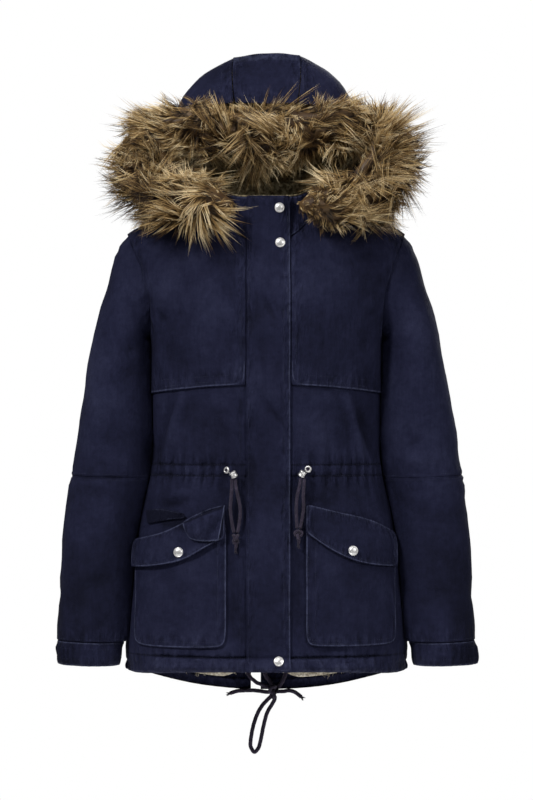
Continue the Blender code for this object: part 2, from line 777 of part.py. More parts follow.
def fur_at(share):
    """The middle of the fur and its radius, from its front end (0) to the centre (1)."""
    lengths = [0.0]
    for a, b in zip(FUR, FUR[1:]):
        lengths.append(lengths[-1] + (Vector(a[:3]) - Vector(b[:3])).length)
    radius = smooth_read(lengths, [tuft.radius for tuft in FUR], share * lengths[-1])
    return curve_through([tuft[:3] for tuft in FUR])(share), radius


def hood_face():
    """Places along the face edge of the hood, behind the fur."""
    places = []
    for edge in HOOD_FACE:
        middle, radius = fur_at(edge.share)
        way = Vector((edge.x, edge.y, edge.z)).normalized()
        places.append(middle + way * (radius + FACE_GAP))
    return places


def hood_side_grid(columns, rows):
    edge = hood_face()
    face, neck = curve_through(edge), curve_through([edge[0]] + HOOD_NECK)
    nape, crown = curve_through(HOOD_NAPE), curve_through([edge[-1]] + HOOD_CROWN)
    grid = []
    for r in range(rows + 1):
        s = r / rows
        grid.append([])
        for c in range(columns + 1):
            u = c / columns
            edges = neck(u) * (1 - s) + crown(u) * s + face(s) * (1 - u) + nape(s) * u
            corners = (face(0) * (1 - s) + face(1) * s) * (1 - u)
            corners += (nape(0) * (1 - s) + nape(1) * s) * u
            flat = edges - corners
            behind_face = max(ease(flat.y / 0.045), ease((s - 0.8) / 0.2) * ease(u / 0.2))
            grid[-1].append(flat.lerp(on_hood(flat), behind_face))
    return grid


def hood_centre_grid(columns, rows, across):
    """The strip over the crown, from the face down to the nape."""
    crown = [hood_side_grid(columns, rows)[-1][c] for c in range(columns + 1)]
    nape = [hood_side_grid(columns, rows)[r][-1] for r in range(rows - 1, -1, -1)]
    grid = []
    for r, edge in enumerate(crown + nape):
        strip = [Vector((edge.x * (2 * a / across - 1), edge.y, edge.z)) for a in range(across + 1)]
        strip[1:-1] = [flat.lerp(on_hood(flat), ease(r / 2)) for flat in strip[1:-1]]
        grid.append(strip)
    return grid


def shared_at_seams(side_ways, centre_ways):
    """Gives both sides of the hood's long seams the same way into the cloth."""
    rows, columns = len(side_ways) - 1, len(side_ways[0]) - 1
    seam = [(rows, c) for c in range(columns + 1)] + [(r, columns) for r in range(rows - 1, -1, -1)]
    for i, (r, c) in enumerate(seam):
        way = (side_ways[r][c] + centre_ways[i][-1]).normalized()
        side_ways[r][c] = way
        centre_ways[i][-1] = way
        centre_ways[i][0] = Vector((-way.x, way.y, way.z))


def make_hood():
    columns, rows, across = 7, 7, 4
    side = hood_side_grid(columns, rows)
    centre = hood_centre_grid(columns, rows, across)
    side_ways, centre_ways = inward_ways(side), inward_ways(centre)
    shared_at_seams(side_ways, centre_ways)
    for layer, inside, wall, trimmed, look in (
        ("hood_", 0.0, SHELL, 0.0, "navy_twill"),
        ("hood_lining_", SHELL + 3 * LIE, STRIP, LINING_SHORT, "olive_fleece"),
    ):
        sides = [[p + w * inside for p, w in zip(*pair)] for pair in zip(side, side_ways)]
        strip = [[p + w * inside for p, w in zip(*pair)] for pair in zip(centre, centre_ways)]
        sides = draw_back(draw_back(sides, rows=(1,), by=HOOD_SEAM), columns=(columns,), by=HOOD_SEAM)
        strip = draw_back(strip, columns=(0, across), by=HOOD_SEAM)
        sides = draw_back(draw_back(sides, rows=(0,), by=trimmed), columns=(0,), by=trimmed)
        strip = draw_back(strip, rows=(0,), by=trimmed)
        cloth(layer + "side_left", sides, side_ways, wall, look)
        cloth(layer + "side_right", mirrored(sides), mirrored(side_ways), wall, look)
        cloth(layer + "centre", strip, centre_ways, wall, look)


def clear_of_body(point, margin):
    """Moves a point of the fur out of the shoulders and the collar that it lies on."""
    def inside(p):
        if p.z > 0.03:
            return 2.0
        depth = (front_depth_at(p.z) if p.y < 0 else back_depth_at(p.z)) + margin
        wide = half_width_at(p.z) + margin
        power = 2 / SQUARE
        return ((abs(p.x) / wide) ** power + (abs(p.y) / depth) ** power) ** (1 / power)

    ratio = inside(point)
    if ratio < 1:
        aside = Vector((point.x / ratio, point.y / ratio, point.z))
        raised = Vector(point)
        while inside(raised) < 1:
            raised.z += 0.0005
        raised.z += margin
        point = aside if (aside - point).length < (raised - point).length else raised
    ring = ((point.x / COLLAR_WIDE) ** 4 + (point.y / COLLAR_DEEP) ** 4) ** 0.25
    if point.z < COLLAR_TALL and ring < 1:
        point = Vector((point.x / ring, point.y / ring, point.z))
    on_form = on_hood(point, 0.003)
    inside_form = (point - HOOD_MIDDLE).length < (on_form - HOOD_MIDDLE).length
    return on_form if inside_form and point.y > HOOD_FACE_DEPTH else point


def make_fur():
    half = []
    for r in range(FUR_RINGS):
        share = r / (FUR_RINGS - 1)
        middle, radius = fur_at(share)
        half.append((middle, radius * (1 + FUR_SWELL * math.sin(9.0 * share * math.pi))))
    path = half + [(Vector((-p.x, p.y, p.z)), radius) for p, radius in reversed(half[:-1])]
    rings = []
    side = Vector((0, 0, 1))
    for i, (middle, radius) in enumerate(path):
        ahead = path[min(i + 1, len(path) - 1)][0] - path[max(i - 1, 0)][0]
        ahead.normalize()
        side = (side - ahead * side.dot(ahead)).normalized()
        other = ahead.cross(side)
        ring = []
        for s in range(FUR_SIDES):
            turn = 2 * math.pi * s / FUR_SIDES
            point = middle + (side * math.cos(turn) + other * math.sin(turn)) * radius
            ring.append(clear_of_body(point, FUR_CLEAR))
        rings.append(ring)
    filled_tube("fur_trim", rings, "fur")


# ---------------------------------------------------------------- pockets
Outline = namedtuple("Outline", "x top bottom")
POCKET_LEFT = [
    Outline(0.0560, -0.4480, -0.6180),
    Outline(0.0600, -0.4490, -0.6250),
    Outline(0.0680, -0.4510, -0.6280),
    Outline(0.1000, -0.4600, -0.6290),
    Outline(0.1300, -0.4700, -0.6290),
    Outline(0.1550, -0.4800, -0.6290),
    Outline(0.1740, -0.4900, -0.6280),
    Outline(0.1810, -0.4940, -0.6250),
    Outline(0.1840, -0.4960, -0.6180),
]
FLAP_LEFT = [
    Outline(0.0555, -0.4250, -0.4665),
    Outline(0.0720, -0.4290, -0.4790),
    Outline(0.0900, -0.4335, -0.4915),
    Outline(0.1080, -0.4380, -0.5010),
    Outline(0.1270, -0.4425, -0.5090),
    Outline(0.1460, -0.4470, -0.5135),
    Outline(0.1660, -0.4570, -0.5165),
    Outline(0.1840, -0.4690, -0.5185),
]
POCKET_RIGHT = [
    Outline(-0.0570, -0.4520, -0.6180),
    Outline(-0.0610, -0.4530, -0.6260),
    Outline(-0.0700, -0.4560, -0.6300),
    Outline(-0.1000, -0.4650, -0.6310),
    Outline(-0.1300, -0.4760, -0.6310),
    Outline(-0.1560, -0.4880, -0.6310),
    Outline(-0.1770, -0.4960, -0.6300),
    Outline(-0.1850, -0.4980, -0.6260),
    Outline(-0.1880, -0.5000, -0.6180),
]
FLAP_RIGHT = [
    Outline(-0.0580, -0.4265, -0.4750),
    Outline(-0.0720, -0.4300, -0.4810),
    Outline(-0.0880, -0.4370, -0.4900),
    Outline(-0.1040, -0.4440, -0.5000),
    Outline(-0.1180, -0.4520, -0.5070),
    Outline(-0.1320, -0.4600, -0.5110),
    Outline(-0.1500, -0.4680, -0.5150),
    Outline(-0.1700, -0.4740, -0.5180),
    Outline(-0.1870, -0.4790, -0.5190),
]
MOUTH_RIGHT = [
    Outline(-0.1160, -0.4400, -0.4470),
    Outline(-0.1320, -0.4370, -0.4480),
    Outline(-0.1500, -0.4330, -0.4510),
    Outline(-0.1700, -0.4370, -0.4560),
]


def patch(name, outline, rows, lift_of, wall=TRIM):
    """A piece on the front between a top and a bottom edge, at a lift that may change."""
    points, ways = [], []
    for r in range(rows + 1):
        down = r / rows
        points.append([])
        ways.append([])
        for o in outline:
            height = o.top + (o.bottom - o.top) * down
            angle = front_angle(o.x, height)
            points[-1].append(torso(angle, height, lift_of(o.x, down) + wall))
            ways[-1].append(-torso_outward(angle, height))
    return cloth(name, points, ways, wall)


def make_pockets():
    def flat(x, down):
        return LIE

    def over_pocket(x, down):
        return LIE + (TRIM + LIE + 0.0006) * ease(down / 0.35)

    def crumpled(x, down):
        lip = 0.009 * math.exp(-((x + 0.088) / 0.022) ** 2) * (1 - ease(down / 0.7))
        crease = 0.003 * math.exp(-((x + 0.121) / 0.008) ** 2)
        return over_pocket(x, down) + lip + 0.003 - crease

    def gaping(x, down):
        return LIE + 0.004 * (1 - down)

    patch("pocket_left", POCKET_LEFT, 5, flat)
    patch("pocket_right", POCKET_RIGHT, 5, flat)
    patch("flap_left", FLAP_LEFT, 4, over_pocket)
    patch("flap_right", FLAP_RIGHT, 4, crumpled)
    patch("pocket_mouth_right", MOUTH_RIGHT, 2, gaping)


# ---------------------------------------------------------------- snaps, eyelets, cords
def turned(name, profile, sides, base, out, finish_name):
    """A turned piece: (radius, height) pairs spun round the way it faces."""
    bm = bmesh.new()
    corners = [bm.verts.new((radius, 0, height)) for radius, height in profile]
    edges = [bm.edges.new(pair) for pair in zip(corners, corners[1:])]
    if profile[0][0] > 1e-6:
        edges.append(bm.edges.new((corners[-1], corners[0])))
    bmesh.ops.spin(
        bm, geom=corners + edges, axis=(0, 0, 1), cent=(0, 0, 0), dvec=(0, 0, 0),
        angle=2 * math.pi, steps=sides, use_merge=True, use_duplicate=False,
    )
    bmesh.ops.remove_doubles(bm, verts=bm.verts, dist=1e-6)
    turn = out.to_track_quat("Z", "Y").to_matrix().to_4x4()
    turn.translation = base
    bmesh.ops.transform(bm, matrix=turn, verts=bm.verts)
    return add_object(name, bm, finish_name)


def make_snaps():
    domed = [
        (0.0, 0.0), (SNAP_RADIUS * 0.93, 0.0), (SNAP_RADIUS, 0.0008),
        (SNAP_RADIUS * 0.93, 0.0016), (SNAP_RADIUS * 0.70, 0.0022), (0.0, 0.0026),
    ]
    for name, x, height, snap_depth, surface_lift in (
        ("snap_collar", 0.0187, 0.0005, 0.0975, None),
        ("snap_chest", 0.0197, -0.0500, 0.1010, None),
        ("snap_hem", 0.0174, -0.6480, 0.1490, None),
        ("snap_pocket_left", 0.1240, -0.4923, 0, 2 * LIE + 2 * TRIM + 0.0012),
        ("snap_pocket_right", -0.1260, -0.4943, 0, 2 * LIE + 2 * TRIM + 0.0042),
    ):
        angle = front_angle(x, min(height, NECK_FRONT))
        out = torso_outward(angle, min(height, -0.09))
        if surface_lift is None:
            base = Vector((x, -snap_depth, height))
            out = (out + Vector((0, -1, 0)) * 2).normalized()
        else:
            base = on_front(x, height, surface_lift)
        turned(name, domed, 14, base + out * 0.0007, out, "silver_snap")


Route = namedtuple("Route", "name points diameter")
EYELETS = {"left": (0.0595, -0.3755), "right": (-0.0572, -0.3770)}
WAIST_CORD_LEFT_A = [
    (0.0487, -0.1252, -0.3880), (0.0475, -0.1268, -0.3980), (0.0440, -0.1275, -0.4130),
    (0.0425, -0.1290, -0.4300), (0.0430, -0.1310, -0.4470), (0.0436, -0.1325, -0.4600),
]
WAIST_CORD_LEFT_B = [
    (0.0537, -0.1252, -0.3880), (0.0535, -0.1268, -0.3980), (0.0525, -0.1275, -0.4130),
    (0.0530, -0.1290, -0.4300), (0.0505, -0.1310, -0.4470), (0.0480, -0.1325, -0.4600),
]
WAIST_CORD_RIGHT_A = [
    (-0.0497, -0.1252, -0.3890), (-0.0495, -0.1268, -0.4000), (-0.0505, -0.1275, -0.4150),
    (-0.0515, -0.1290, -0.4330), (-0.0490, -0.1315, -0.4530), (-0.0462, -0.1330, -0.4660),
]
WAIST_CORD_RIGHT_B = [
    (-0.0447, -0.1252, -0.3890), (-0.0437, -0.1268, -0.4000), (-0.0405, -0.1275, -0.4150),
    (-0.0375, -0.1290, -0.4330), (-0.0390, -0.1315, -0.4530), (-0.0415, -0.1330, -0.4660),
]
HEM_KNOT = Vector((0.0105, 0.1345, -0.7165))
HEM_ROUTES = [
    Route("hem_cord_right", [
        (-0.0290, 0.1352, -0.6880), (-0.0262, 0.1345, -0.6935), (-0.0215, 0.1350, -0.6990),
        (-0.0140, 0.1350, -0.7045), (-0.0050, 0.1345, -0.7080), (0.0035, 0.1345, -0.7115),
    ], HEM_CORD),
    Route("hem_cord_middle", [
        (-0.0030, 0.1352, -0.6800), (-0.0032, 0.1348, -0.6840), (-0.0020, 0.1350, -0.6920),
        (0.0030, 0.1358, -0.7000), (0.0085, 0.1370, -0.7075),
    ], HEM_CORD),
    Route("hem_cord_left", [
        (0.0310, 0.1350, -0.6800), (0.0302, 0.1346, -0.6860), (0.0270, 0.1350, -0.6960),
        (0.0225, 0.1365, -0.7050), (0.0180, 0.1365, -0.7115),
    ], HEM_CORD),
    Route("hem_loop", [
        (0.0062, 0.1360, -0.7275), (0.0020, 0.1372, -0.7300), (-0.0060, 0.1375, -0.7385),
        (-0.0130, 0.1378, -0.7500), (-0.0195, 0.1380, -0.7680), (-0.0235, 0.1380, -0.7880),
        (-0.0240, 0.1380, -0.8010), (-0.0185, 0.1380, -0.8095), (-0.0125, 0.1380, -0.8040),
        (-0.0085, 0.1380, -0.7900), (-0.0045, 0.1380, -0.7700), (0.0010, 0.1376, -0.7500),
        (0.0085, 0.1372, -0.7370), (0.0140, 0.1360, -0.7290),
    ], HEM_CORD),
    Route("hem_tail_left", [
        (0.0190, 0.1370, -0.7180), (0.0270, 0.1370, -0.7175), (0.0350, 0.1370, -0.7165),
        (0.0440, 0.1370, -0.7195), (0.0530, 0.1370, -0.7265),
    ], HEM_CORD),
    Route("hem_tail_right", [
        (0.0020, 0.1385, -0.7190), (-0.0060, 0.1390, -0.7180), (-0.0180, 0.1390, -0.7165),
        (-0.0320, 0.1388, -0.7165), (-0.0450, 0.1382, -0.7175), (-0.0560, 0.1375, -0.7210),
    ], HEM_CORD),
]


def cord(name, points, diameter):
    """A free cord: a round tube with a point every 2 or 3 diameters."""
    route = curve_through(points)
    length = sum((route(i / 60) - route((i + 1) / 60)).length for i in range(60))
    count = max(5, round(length / (2.4 * diameter)) + 1)
    curve = bpy.data.curves.new(name, "CURVE")
    curve.dimensions = "3D"
    curve.bevel_depth = diameter / 2
    curve.bevel_resolution = 2
    curve.use_fill_caps = True
    spline = curve.splines.new("POLY")
    spline.points.add(count - 1)
    for i, point in enumerate(spline.points):
        point.co = (*route(i / (count - 1)), 1.0)
    curve.materials.append(finish("dark_cord"))
    piece = bpy.data.objects.new(name, curve)
    bpy.context.scene.collection.objects.link(piece)
    return piece


def knot(name, middle, radius, tip):
    """A knot with its short end: an egg drawn down to a blunt tip."""
    profile = [(0.0, radius * 1.05), (radius * 0.7, radius * 0.75), (radius, 0.0)]
    profile += [(radius * 0.6, -radius * 0.95), (radius * 0.45, -radius * 1.6)]
    profile += [(radius * 0.5, -tip), (0.0, -tip)]
    return turned(name, list(reversed(profile)), 8, middle, Vector((0, 0, 1)), "dark_cord")


def make_hardware():
    ring = [(0.0018, 0.0), (0.0052, 0.0), (0.0052, 0.0009), (0.0042, 0.0014), (0.0022, 0.0014)]
    for side, (x, height) in EYELETS.items():
        angle = front_angle(x, height)
        out = torso_outward(angle, height)
        base = torso(angle, height, 0.0012)
        turned("eyelet_" + side, ring, 12, base, out, "silver_snap")
    barrel = [(0.0, 0.0), (0.0044, 0.0), (0.0052, 0.0015), (0.0052, 0.0075), (0.0044, 0.009), (0.0, 0.009)]
    up = Vector((0, 0, 1))
    for side, x, height in (("left", 0.0512, -0.3872), ("right", -0.0472, -0.3882)):
        turned("ferrule_" + side, barrel, 10, Vector((x, -0.1252, height)), up, "silver_snap")
    for name, points in (
        ("waist_cord_left_a", WAIST_CORD_LEFT_A), ("waist_cord_left_b", WAIST_CORD_LEFT_B),
        ("waist_cord_right_a", WAIST_CORD_RIGHT_A), ("waist_cord_right_b", WAIST_CORD_RIGHT_B),
    ):
        cord(name, points, CORD)
    knot("waist_knot_left", Vector((0.0455, -0.1335, -0.4680)), 0.0060, 0.018)
    knot("waist_knot_right", Vector((-0.0440, -0.1345, -0.4740)), 0.0060, 0.020)
    for route in HEM_ROUTES:
        cord(*route)
    knot("hem_knot", HEM_KNOT, 0.0068, 0.0068)


def main():
    for existing in list(bpy.context.scene.objects):
        bpy.data.objects.remove(existing, do_unlink=True)
    make_body()
    make_back_inside()
    make_sleeves()
    make_collar()
    make_placket()
    make_yokes()
    make_hood()
    make_fur()
    make_pockets()
    make_snaps()
    make_hardware()


main()
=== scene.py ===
"""A fur trimmed parka, dressed: cloth, fur, fleece, sewing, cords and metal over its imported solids.

Metres, +Z up. The front faces -Y and the wearer's left is +X.
"""
import math
import random
from collections import namedtuple

import bmesh
import bpy
import numpy as np
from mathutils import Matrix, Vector
from mathutils.bvhtree import BVHTree
from mathutils.kdtree import KDTree


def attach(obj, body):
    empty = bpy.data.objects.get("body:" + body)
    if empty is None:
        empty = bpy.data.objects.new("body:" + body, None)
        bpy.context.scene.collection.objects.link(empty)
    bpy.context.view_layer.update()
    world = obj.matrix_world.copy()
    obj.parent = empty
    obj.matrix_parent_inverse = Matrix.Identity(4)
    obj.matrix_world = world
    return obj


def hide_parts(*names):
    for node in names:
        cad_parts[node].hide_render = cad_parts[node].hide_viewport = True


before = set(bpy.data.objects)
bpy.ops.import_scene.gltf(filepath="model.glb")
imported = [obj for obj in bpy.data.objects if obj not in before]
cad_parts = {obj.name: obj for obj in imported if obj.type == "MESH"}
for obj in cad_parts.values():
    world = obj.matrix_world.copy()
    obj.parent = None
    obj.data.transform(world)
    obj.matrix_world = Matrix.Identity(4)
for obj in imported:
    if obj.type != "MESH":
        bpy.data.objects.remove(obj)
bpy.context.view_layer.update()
scene = bpy.context.scene
scene.view_settings.view_transform = "Standard"

# ---------------------------------------------------------------- camera, light and floor
# A level view from the front, soft lights before, above and behind the coat, and a plain pale floor
# below it.
CAMERA_AWAY = 4.5
CAMERA_HEIGHT = -0.2764
VIEW_TALL = 1.176        # what the frame's long side takes in at the coat
FLOOR = -1.250
FLOOR_HALF = 1.4
LAMPS_AIM = Vector((0, 0, -0.3))

camera = bpy.data.cameras.new("camera")
camera.sensor_width = 36.0
camera.lens = CAMERA_AWAY * camera.sensor_width / VIEW_TALL
viewer = bpy.data.objects.new("camera", camera)
viewer.location = (0.0, -CAMERA_AWAY, CAMERA_HEIGHT)
viewer.rotation_euler = (math.radians(90), 0.0, 0.0)
scene.collection.objects.link(viewer)
scene.camera = viewer

AROUND = 0.19            # the light that comes from all round, where the backdrop is 1

world = bpy.data.worlds.new("studio")
world.use_nodes = True
studio = world.node_tree
seen = studio.nodes.new("ShaderNodeLightPath")
bright = studio.nodes.new("ShaderNodeMapRange")
bright.inputs["To Min"].default_value = AROUND
bright.inputs["To Max"].default_value = 1.0
studio.links.new(seen.outputs["Is Camera Ray"], bright.inputs["Value"])
studio.links.new(bright.outputs["Result"], studio.nodes["Background"].inputs["Strength"])
studio.nodes["Background"].inputs["Color"].default_value = (1.0, 1.0, 1.0, 1.0)
scene.world = world

for name, place, size, watts in (
    ("key", (-2.1, -2.3, 2.2), 0.7, 112),
    ("fill", (2.5, -2.3, 1.0), 1.2, 46),
    ("top", (0.0, -1.0, 2.7), 1.2, 24),
    ("back", (0.9, 3.0, 1.5), 1.8, 120),
):
    light = bpy.data.lights.new(name, "AREA")
    light.size = size
    light.energy = watts
    lamp = bpy.data.objects.new(name, light)
    lamp.location = place
    lamp.rotation_euler = (LAMPS_AIM - Vector(place)).to_track_quat("-Z", "Y").to_euler()
    scene.collection.objects.link(lamp)


def new_material(name):
    material = bpy.data.materials.new(name)
    material.use_nodes = True
    return material, material.node_tree, material.node_tree.nodes["Principled BSDF"]


def add_node(tree, kind, links=(), **values):
    """A shader node with its settings, its sockets' values and (socket, source) links."""
    node = tree.nodes.new("ShaderNode" + kind)
    for key, value in values.items():
        if key[0].isupper():
            node.inputs[key.replace("_", " ")].default_value = value
        else:
            setattr(node, key, value)
    for socket, source in links:
        tree.links.new(source, node.inputs[socket])
    return node


def add_ramp(tree, source, *stops):
    """A colour ramp through (place, colour) stops."""
    node = add_node(tree, "ValToRGB", [("Fac", source)])
    elements = node.color_ramp.elements
    while len(elements) < len(stops):
        elements.new(0.5)
    for element, (place, colour) in zip(elements, stops):
        element.position = place
        element.color = (*colour, 1.0)
    return node


def calc(tree, operation, *terms):
    """The result of a maths node on sockets and numbers."""
    node = add_node(tree, "Math", operation=operation)
    for socket, term in zip(node.inputs, terms):
        if isinstance(term, (int, float)):
            socket.default_value = term
        else:
            tree.links.new(term, socket)
    return node.outputs[0]


def noise_over(tree, scale, **values):
    """Noise fixed to the piece, with its scale and other settings."""
    place = add_node(tree, "TexCoord").outputs["Object"]
    return add_node(tree, "TexNoise", [("Vector", place)], Scale=scale, **values).outputs["Fac"]


def set_look(tree, shader, colour, roughness, gloss, bump=None):
    """Gives a material its colour, how rough and how glossy it is, and its bump."""
    tree.links.new(colour, shader.inputs["Base Color"])
    shader.inputs["Roughness"].default_value = roughness
    shader.inputs["Specular IOR Level"].default_value = gloss
    if bump:
        tree.links.new(bump.outputs["Normal"], shader.inputs["Normal"])


def make_floor():
    bm = bmesh.new()
    bmesh.ops.create_grid(bm, x_segments=4, y_segments=4, size=FLOOR_HALF)
    mesh = bpy.data.meshes.new("floor")
    bm.to_mesh(mesh)
    bm.free()
    material, tree, shader = new_material("floor_pale")
    pale = add_ramp(tree, noise_over(tree, 3.0), (0.3, (0.90, 0.90, 0.90)), (0.7, (0.92, 0.92, 0.92)))
    tree.links.new(pale.outputs["Color"], shader.inputs["Base Color"])
    shader.inputs["Roughness"].default_value = 1.0
    mesh.materials.append(material)
    floor = bpy.data.objects.new("floor", mesh)
    floor.location = (0.0, 0.0, FLOOR)
    scene.collection.objects.link(floor)


make_floor()


# ---------------------------------------------------------------- drawcords
# Braided cotton cords: two strands a side at the waist, and three strands, a knot, a loop
# and two ends at the tail. Their routes follow their solids', and some run further into the knot.
WAIST_CORD = 0.0045
HEM_CORD = 0.0058
CORD_STEP = 0.0007       # between the rings of a cord's skin
CORD_SIDES, KNOT_SIDES = 16, 12
FRAY_YARNS, FRAY_LONG = 26, 0.007
TAIL_SWAY = 0.0008       # how far the waist knots' tails swing to the side
Route = namedtuple("Route", "name points diameter far_end lay", defaults=("knot", "hanging"))


def smooth_read(places, values, at):
    """Reads a smooth curve through values given at rising places."""
    at = min(max(at, places[0]), places[-1])
    i = 0
    while i < len(places) - 2 and places[i + 1] < at:
        i += 1

    def slope(j):
        low, high = max(j - 1, 0), min(j + 1, len(places) - 1)
        return (values[high] - values[low]) / (places[high] - places[low])

    span = places[i + 1] - places[i]
    t = (at - places[i]) / span
    rise, fall = t * t * (3 - 2 * t), 1 - t * t * (3 - 2 * t)
    bend = slope(i) * (t * (1 - t) ** 2) - slope(i + 1) * (t * t * (1 - t))
    return values[i] * fall + values[i + 1] * rise + bend * span


def curve_through(points):
    """A smooth curve through points, read from 0 to 1 by length along them."""
    points = [Vector(p) for p in points]
    places = [0.0]
    for before, after in zip(points, points[1:]):
        places.append(places[-1] + (after - before).length)
    total = places[-1]

    def read(t):
        return Vector(smooth_read(places, [p[i] for p in points], t * total) for i in range(3))

    return read


def length_of(points):
    return sum((b - a).length for a, b in zip(points, points[1:]))


def even_points(route, step):
    """Points a step apart on a curve."""
    fine = [route(i / 200) for i in range(201)]
    count = max(4, round(length_of(fine) / step))
    return [route(i / count) for i in range(count + 1)]


def place_mesh(name, mesh, material):
    """Makes a mesh a smooth piece that rides with the coat."""
    mesh.materials.append(material)
    mesh.shade_smooth()
    piece = bpy.data.objects.new(name, mesh)
    scene.collection.objects.link(piece)
    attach(piece, "root")
    return piece


def add_piece(name, bm, material):
    """Turns a finished bmesh into a piece."""
    mesh = bpy.data.meshes.new(name)
    bm.to_mesh(mesh)
    bm.free()
    return place_mesh(name, mesh, material)


def tube_along(path, sides, radius_at, bm=None):
    """A closed tube round a path; radius_at(share, turn, length) gives its skin."""
    bm = bm or bmesh.new()
    grid = bmesh.ops.create_grid(bm, x_segments=sides, y_segments=len(path) - 1, size=1.0)["verts"]
    side, total, run = Vector((0.31, 0.95, 0.05)), length_of(path), 0.0
    for r, middle in enumerate(path):
        ahead = (path[min(r + 1, len(path) - 1)] - path[max(r - 1, 0)]).normalized()
        side = (side - ahead * side.dot(ahead)).normalized()
        other = ahead.cross(side)
        run += (middle - path[max(r - 1, 0)]).length
        for s in range(sides + 1):
            turn = 2 * math.pi * (s % sides) / sides
            way = side * math.cos(turn) + other * math.sin(turn)
            grid[r * (sides + 1) + s].co = middle + way * radius_at(run / total, turn, run)
    bmesh.ops.remove_doubles(bm, verts=grid, dist=1e-6)
    ends = [edge for edge in bm.edges if edge.is_boundary]
    bmesh.ops.holes_fill(bm, edges=ends, sides=sides)
    bmesh.ops.recalc_face_normals(bm, faces=bm.faces)
    return bm


def braided(diameter):
    """The skin of a braid: strands that cross both ways round it."""
    def radius(share, turn, run):
        lay = 2 * math.pi * run / (diameter * 1.9)
        strands = max(math.cos(3 * turn + lay), math.cos(3 * turn - lay))
        blunt = min(1.0, 0.55 + min(share, 1 - share) * 30)
        return diameter / 2 * (0.99 + 0.09 * strands) * blunt

    return radius


def laid(diameter):
    """The skin of the cord in a knot: three slack strands that wind round it."""
    return lambda share, turn, run: diameter * (0.44 + 0.05 * math.cos(3 * turn + run * 1500))


def cord_material():
    material, tree, shader = new_material("dark_cotton_cord")
    fibre, fade = noise_over(tree, 900.0, Detail=4.0), noise_over(tree, 90.0, Detail=2.0)
    mean = calc(tree, "MULTIPLY", calc(tree, "ADD", fibre, fade), 0.5)
    tone = add_ramp(
        tree, mean,
        (0.30, (0.0090, 0.0066, 0.0135)), (0.55, (0.0280, 0.0220, 0.0400)), (0.75, (0.064, 0.052, 0.086)),
    )
    bump = add_node(tree, "Bump", [("Height", fibre)], Strength=0.5, Distance=0.0004)
    set_look(tree, shader, tone.outputs["Color"], roughness=0.85, gloss=0.15, bump=bump)
    shader.inputs["Sheen Weight"].default_value = 0.10
    return material


cord_look = cord_material()


def add_fray(bm, tip, way, radius, seed):
    """Loose ends of yarn at a cut end of a cord."""
    rng = random.Random(seed)
    for _ in range(FRAY_YARNS):
        out = Vector([rng.uniform(-1, 1) for _ in range(3)])
        out = (out - way * out.dot(way)) * 0.55
        start = tip - way * radius * 0.6 + out * radius * 0.8
        long = FRAY_LONG * rng.uniform(0.6, 1.1)
        path = [start + (way + out * 0.5 * t) * long * t for t in (0.0, 0.35, 0.7, 1.0)]
        yarn = rng.uniform(0.8, 1.2) * radius * 0.17
        tube_along(path, 4, lambda share, turn, run: yarn * (1.05 - 0.7 * share), bm)


def knot_path(middle, size, tall, turn):
    """An overhand knot: a trefoil drawn tight."""
    points = []
    for i in range(61):
        t = 2 * math.pi * i / 60
        x = math.sin(t) + 2 * math.sin(2 * t)
        y = math.cos(t) - 2 * math.cos(2 * t)
        z = -math.sin(3 * t)
        spot = Vector((x * math.cos(turn) - z * math.sin(turn), x * math.sin(turn) + z * math.cos(turn), y))
        points.append(middle + Vector((spot.x * size, spot.y * size, spot.z * size * tall)))
    return points


